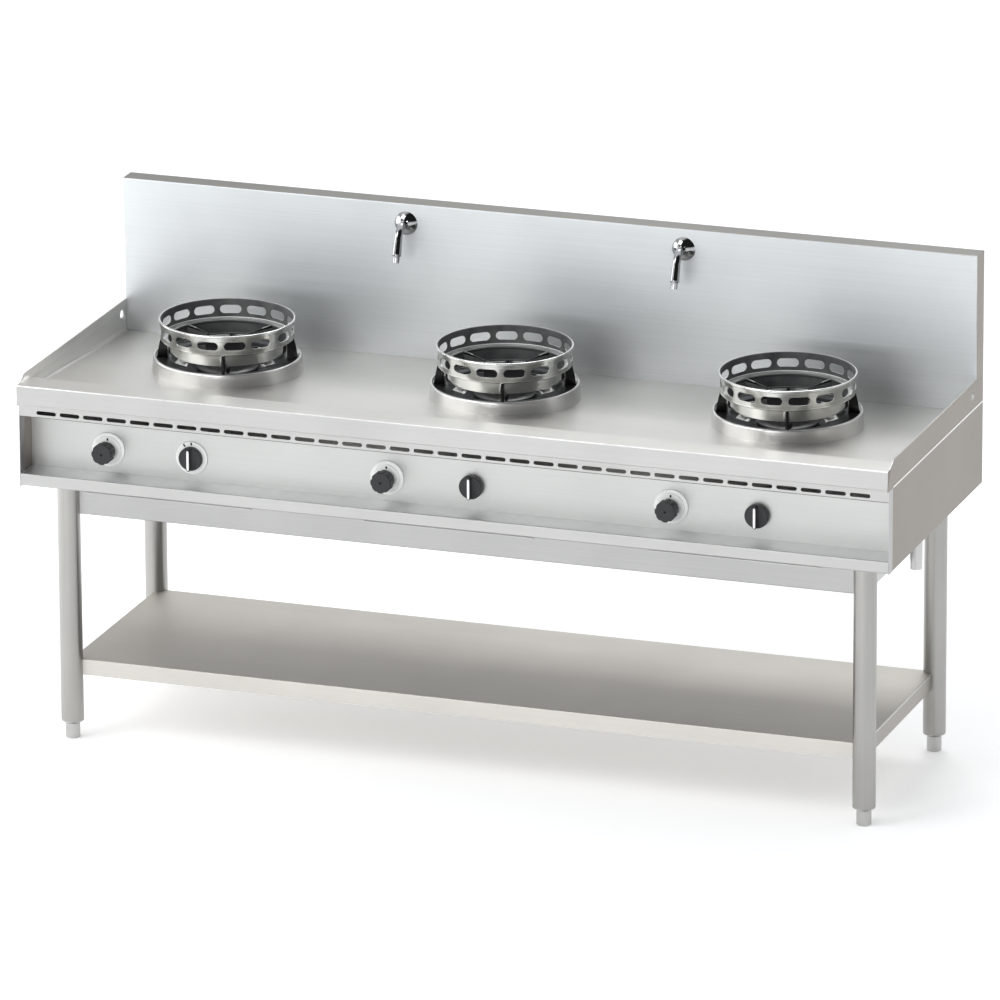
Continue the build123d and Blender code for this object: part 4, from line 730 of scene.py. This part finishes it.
# Painted shade inside: it grows as the normal turns to the axis, and a broad noise makes it uneven. Where the
# normal turns away from the axis it is below nothing: it leaves the colour alone, and polishes what it dulls
# inside.
inwards = number(tree, "MINIMUM", number(tree, "MULTIPLY", faces_out, -INSIDE_SHADE_GROWTH), 1.0)
shade_unevenness = number(tree, "MULTIPLY", noise(tree, place, INSIDE_SHADE_CELLS, detail=3.0), INSIDE_SHADE_SWING)
inside_shade = number(tree, "MULTIPLY", inwards, number(tree, "ADD", shade_unevenness, INSIDE_SHADE_THINNEST))
lay_on(ring_steel, inside_shade, INSIDE_SHADE_COLOUR)
metal = number(tree, "SUBTRACT", 1.0, number(tree, "MULTIPLY", inside_shade, INSIDE_SHADE_METAL_LOSS))
tree.links.new(metal, shader.inputs["Metallic"])
polished = shader.inputs["Roughness"].links[0].from_socket
dulled = number(tree, "ADD", polished, number(tree, "MULTIPLY", inside_shade, INSIDE_SHADE_DULLING))
tree.links.new(dulled, shader.inputs["Roughness"])
# Painted highlights on the corner and bead, then painted shade on what looks down and in a line round the
# waist under the ledge.
on_corner = where(tree, ("LESS_THAN", height, CORNER_TOP), ("GREATER_THAN", distance, BAND_INNER_RADIUS))
on_bead = where(tree, ("GREATER_THAN", height, BEAD_BOTTOM), ("GREATER_THAN", faces_out, LOOKS_OUT))
lay_on(ring_steel, number(tree, "MAXIMUM", on_corner, on_bead), RIM_HIGHLIGHT_COLOUR)
upright = tree.nodes.new("ShaderNodeSeparateXYZ")
tree.links.new(normal, upright.inputs[0])
looks_down = number(tree, "LESS_THAN", upright.outputs["Z"], LOOKS_DOWN)
shade_line = where(
    tree,
    ("LESS_THAN", height, SHADE_LINE_TOP),
    ("GREATER_THAN", height, SHADE_LINE_BOTTOM),
    ("LESS_THAN", distance, BAND_INNER_RADIUS),
)
lay_on(ring_steel, number(tree, "MAXIMUM", looks_down, shade_line), UNDER_SHADE_COLOUR)
# Painted shade on the lugs: near one of the two lines through the axis at the lugs' turn, outside the waist
# and under the ledge.
aligned = tree.nodes.new("ShaderNodeVectorRotate")
aligned.rotation_type = "Z_AXIS"
aligned.inputs["Angle"].default_value = -LUG_TURN
tree.links.new(flat, aligned.inputs["Vector"])
sides = tree.nodes.new("ShaderNodeSeparateXYZ")
tree.links.new(aligned.outputs[0], sides.inputs[0])
across = number(tree, "ABSOLUTE", sides.outputs["X"])
along = number(tree, "ABSOLUTE", sides.outputs["Y"])
on_lug = where(
    tree,
    ("LESS_THAN", number(tree, "MINIMUM", across, along), LUG_HALF_WIDTH),
    ("GREATER_THAN", number(tree, "MAXIMUM", across, along), LUG_INNER_RADIUS),
    ("LESS_THAN", height, LUG_TOP),
)
lay_on(ring_steel, on_lug, UNDER_SHADE_COLOUR)
# Rolled sheet is round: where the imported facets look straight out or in, the normal is the true radius.
straight = spread(tree, number(tree, "ABSOLUTE", faces_out), ROLLED_SPAN)
radius = vector_step(tree, "SCALE", outwards, factor=number(tree, "SIGN", faces_out))
rolled = tree.nodes.new("ShaderNodeMix")
rolled.data_type = "VECTOR"
tree.links.new(straight, rolled.inputs["Factor"])
tree.links.new(normal, rolled.inputs["A"])
tree.links.new(radius, rolled.inputs["B"])
tree.links.new(rolled.outputs["Result"], shader.inputs["Normal"].links[0].from_node.inputs["Normal"])
for burner in BURNERS:
    rounded_copy(f"wok_ring_{burner}", ring_steel)


# Taps: two chromed brass spouts, bent from tube, that swivel in domed rosettes.
# The rosettes sit on the splashback, over the ends of the water pipe behind it.
tap_chrome = brushed_steel("tap_chrome", (0.46, 0.47, 0.48), 0.05, grain=(0.02, 0.02, 0.02), contrast=0.02)
rounded_copy("tap_rosettes", tap_chrome)
for hand in HANDS:
    rounded_copy(f"tap_spout_{hand}", tap_chrome)
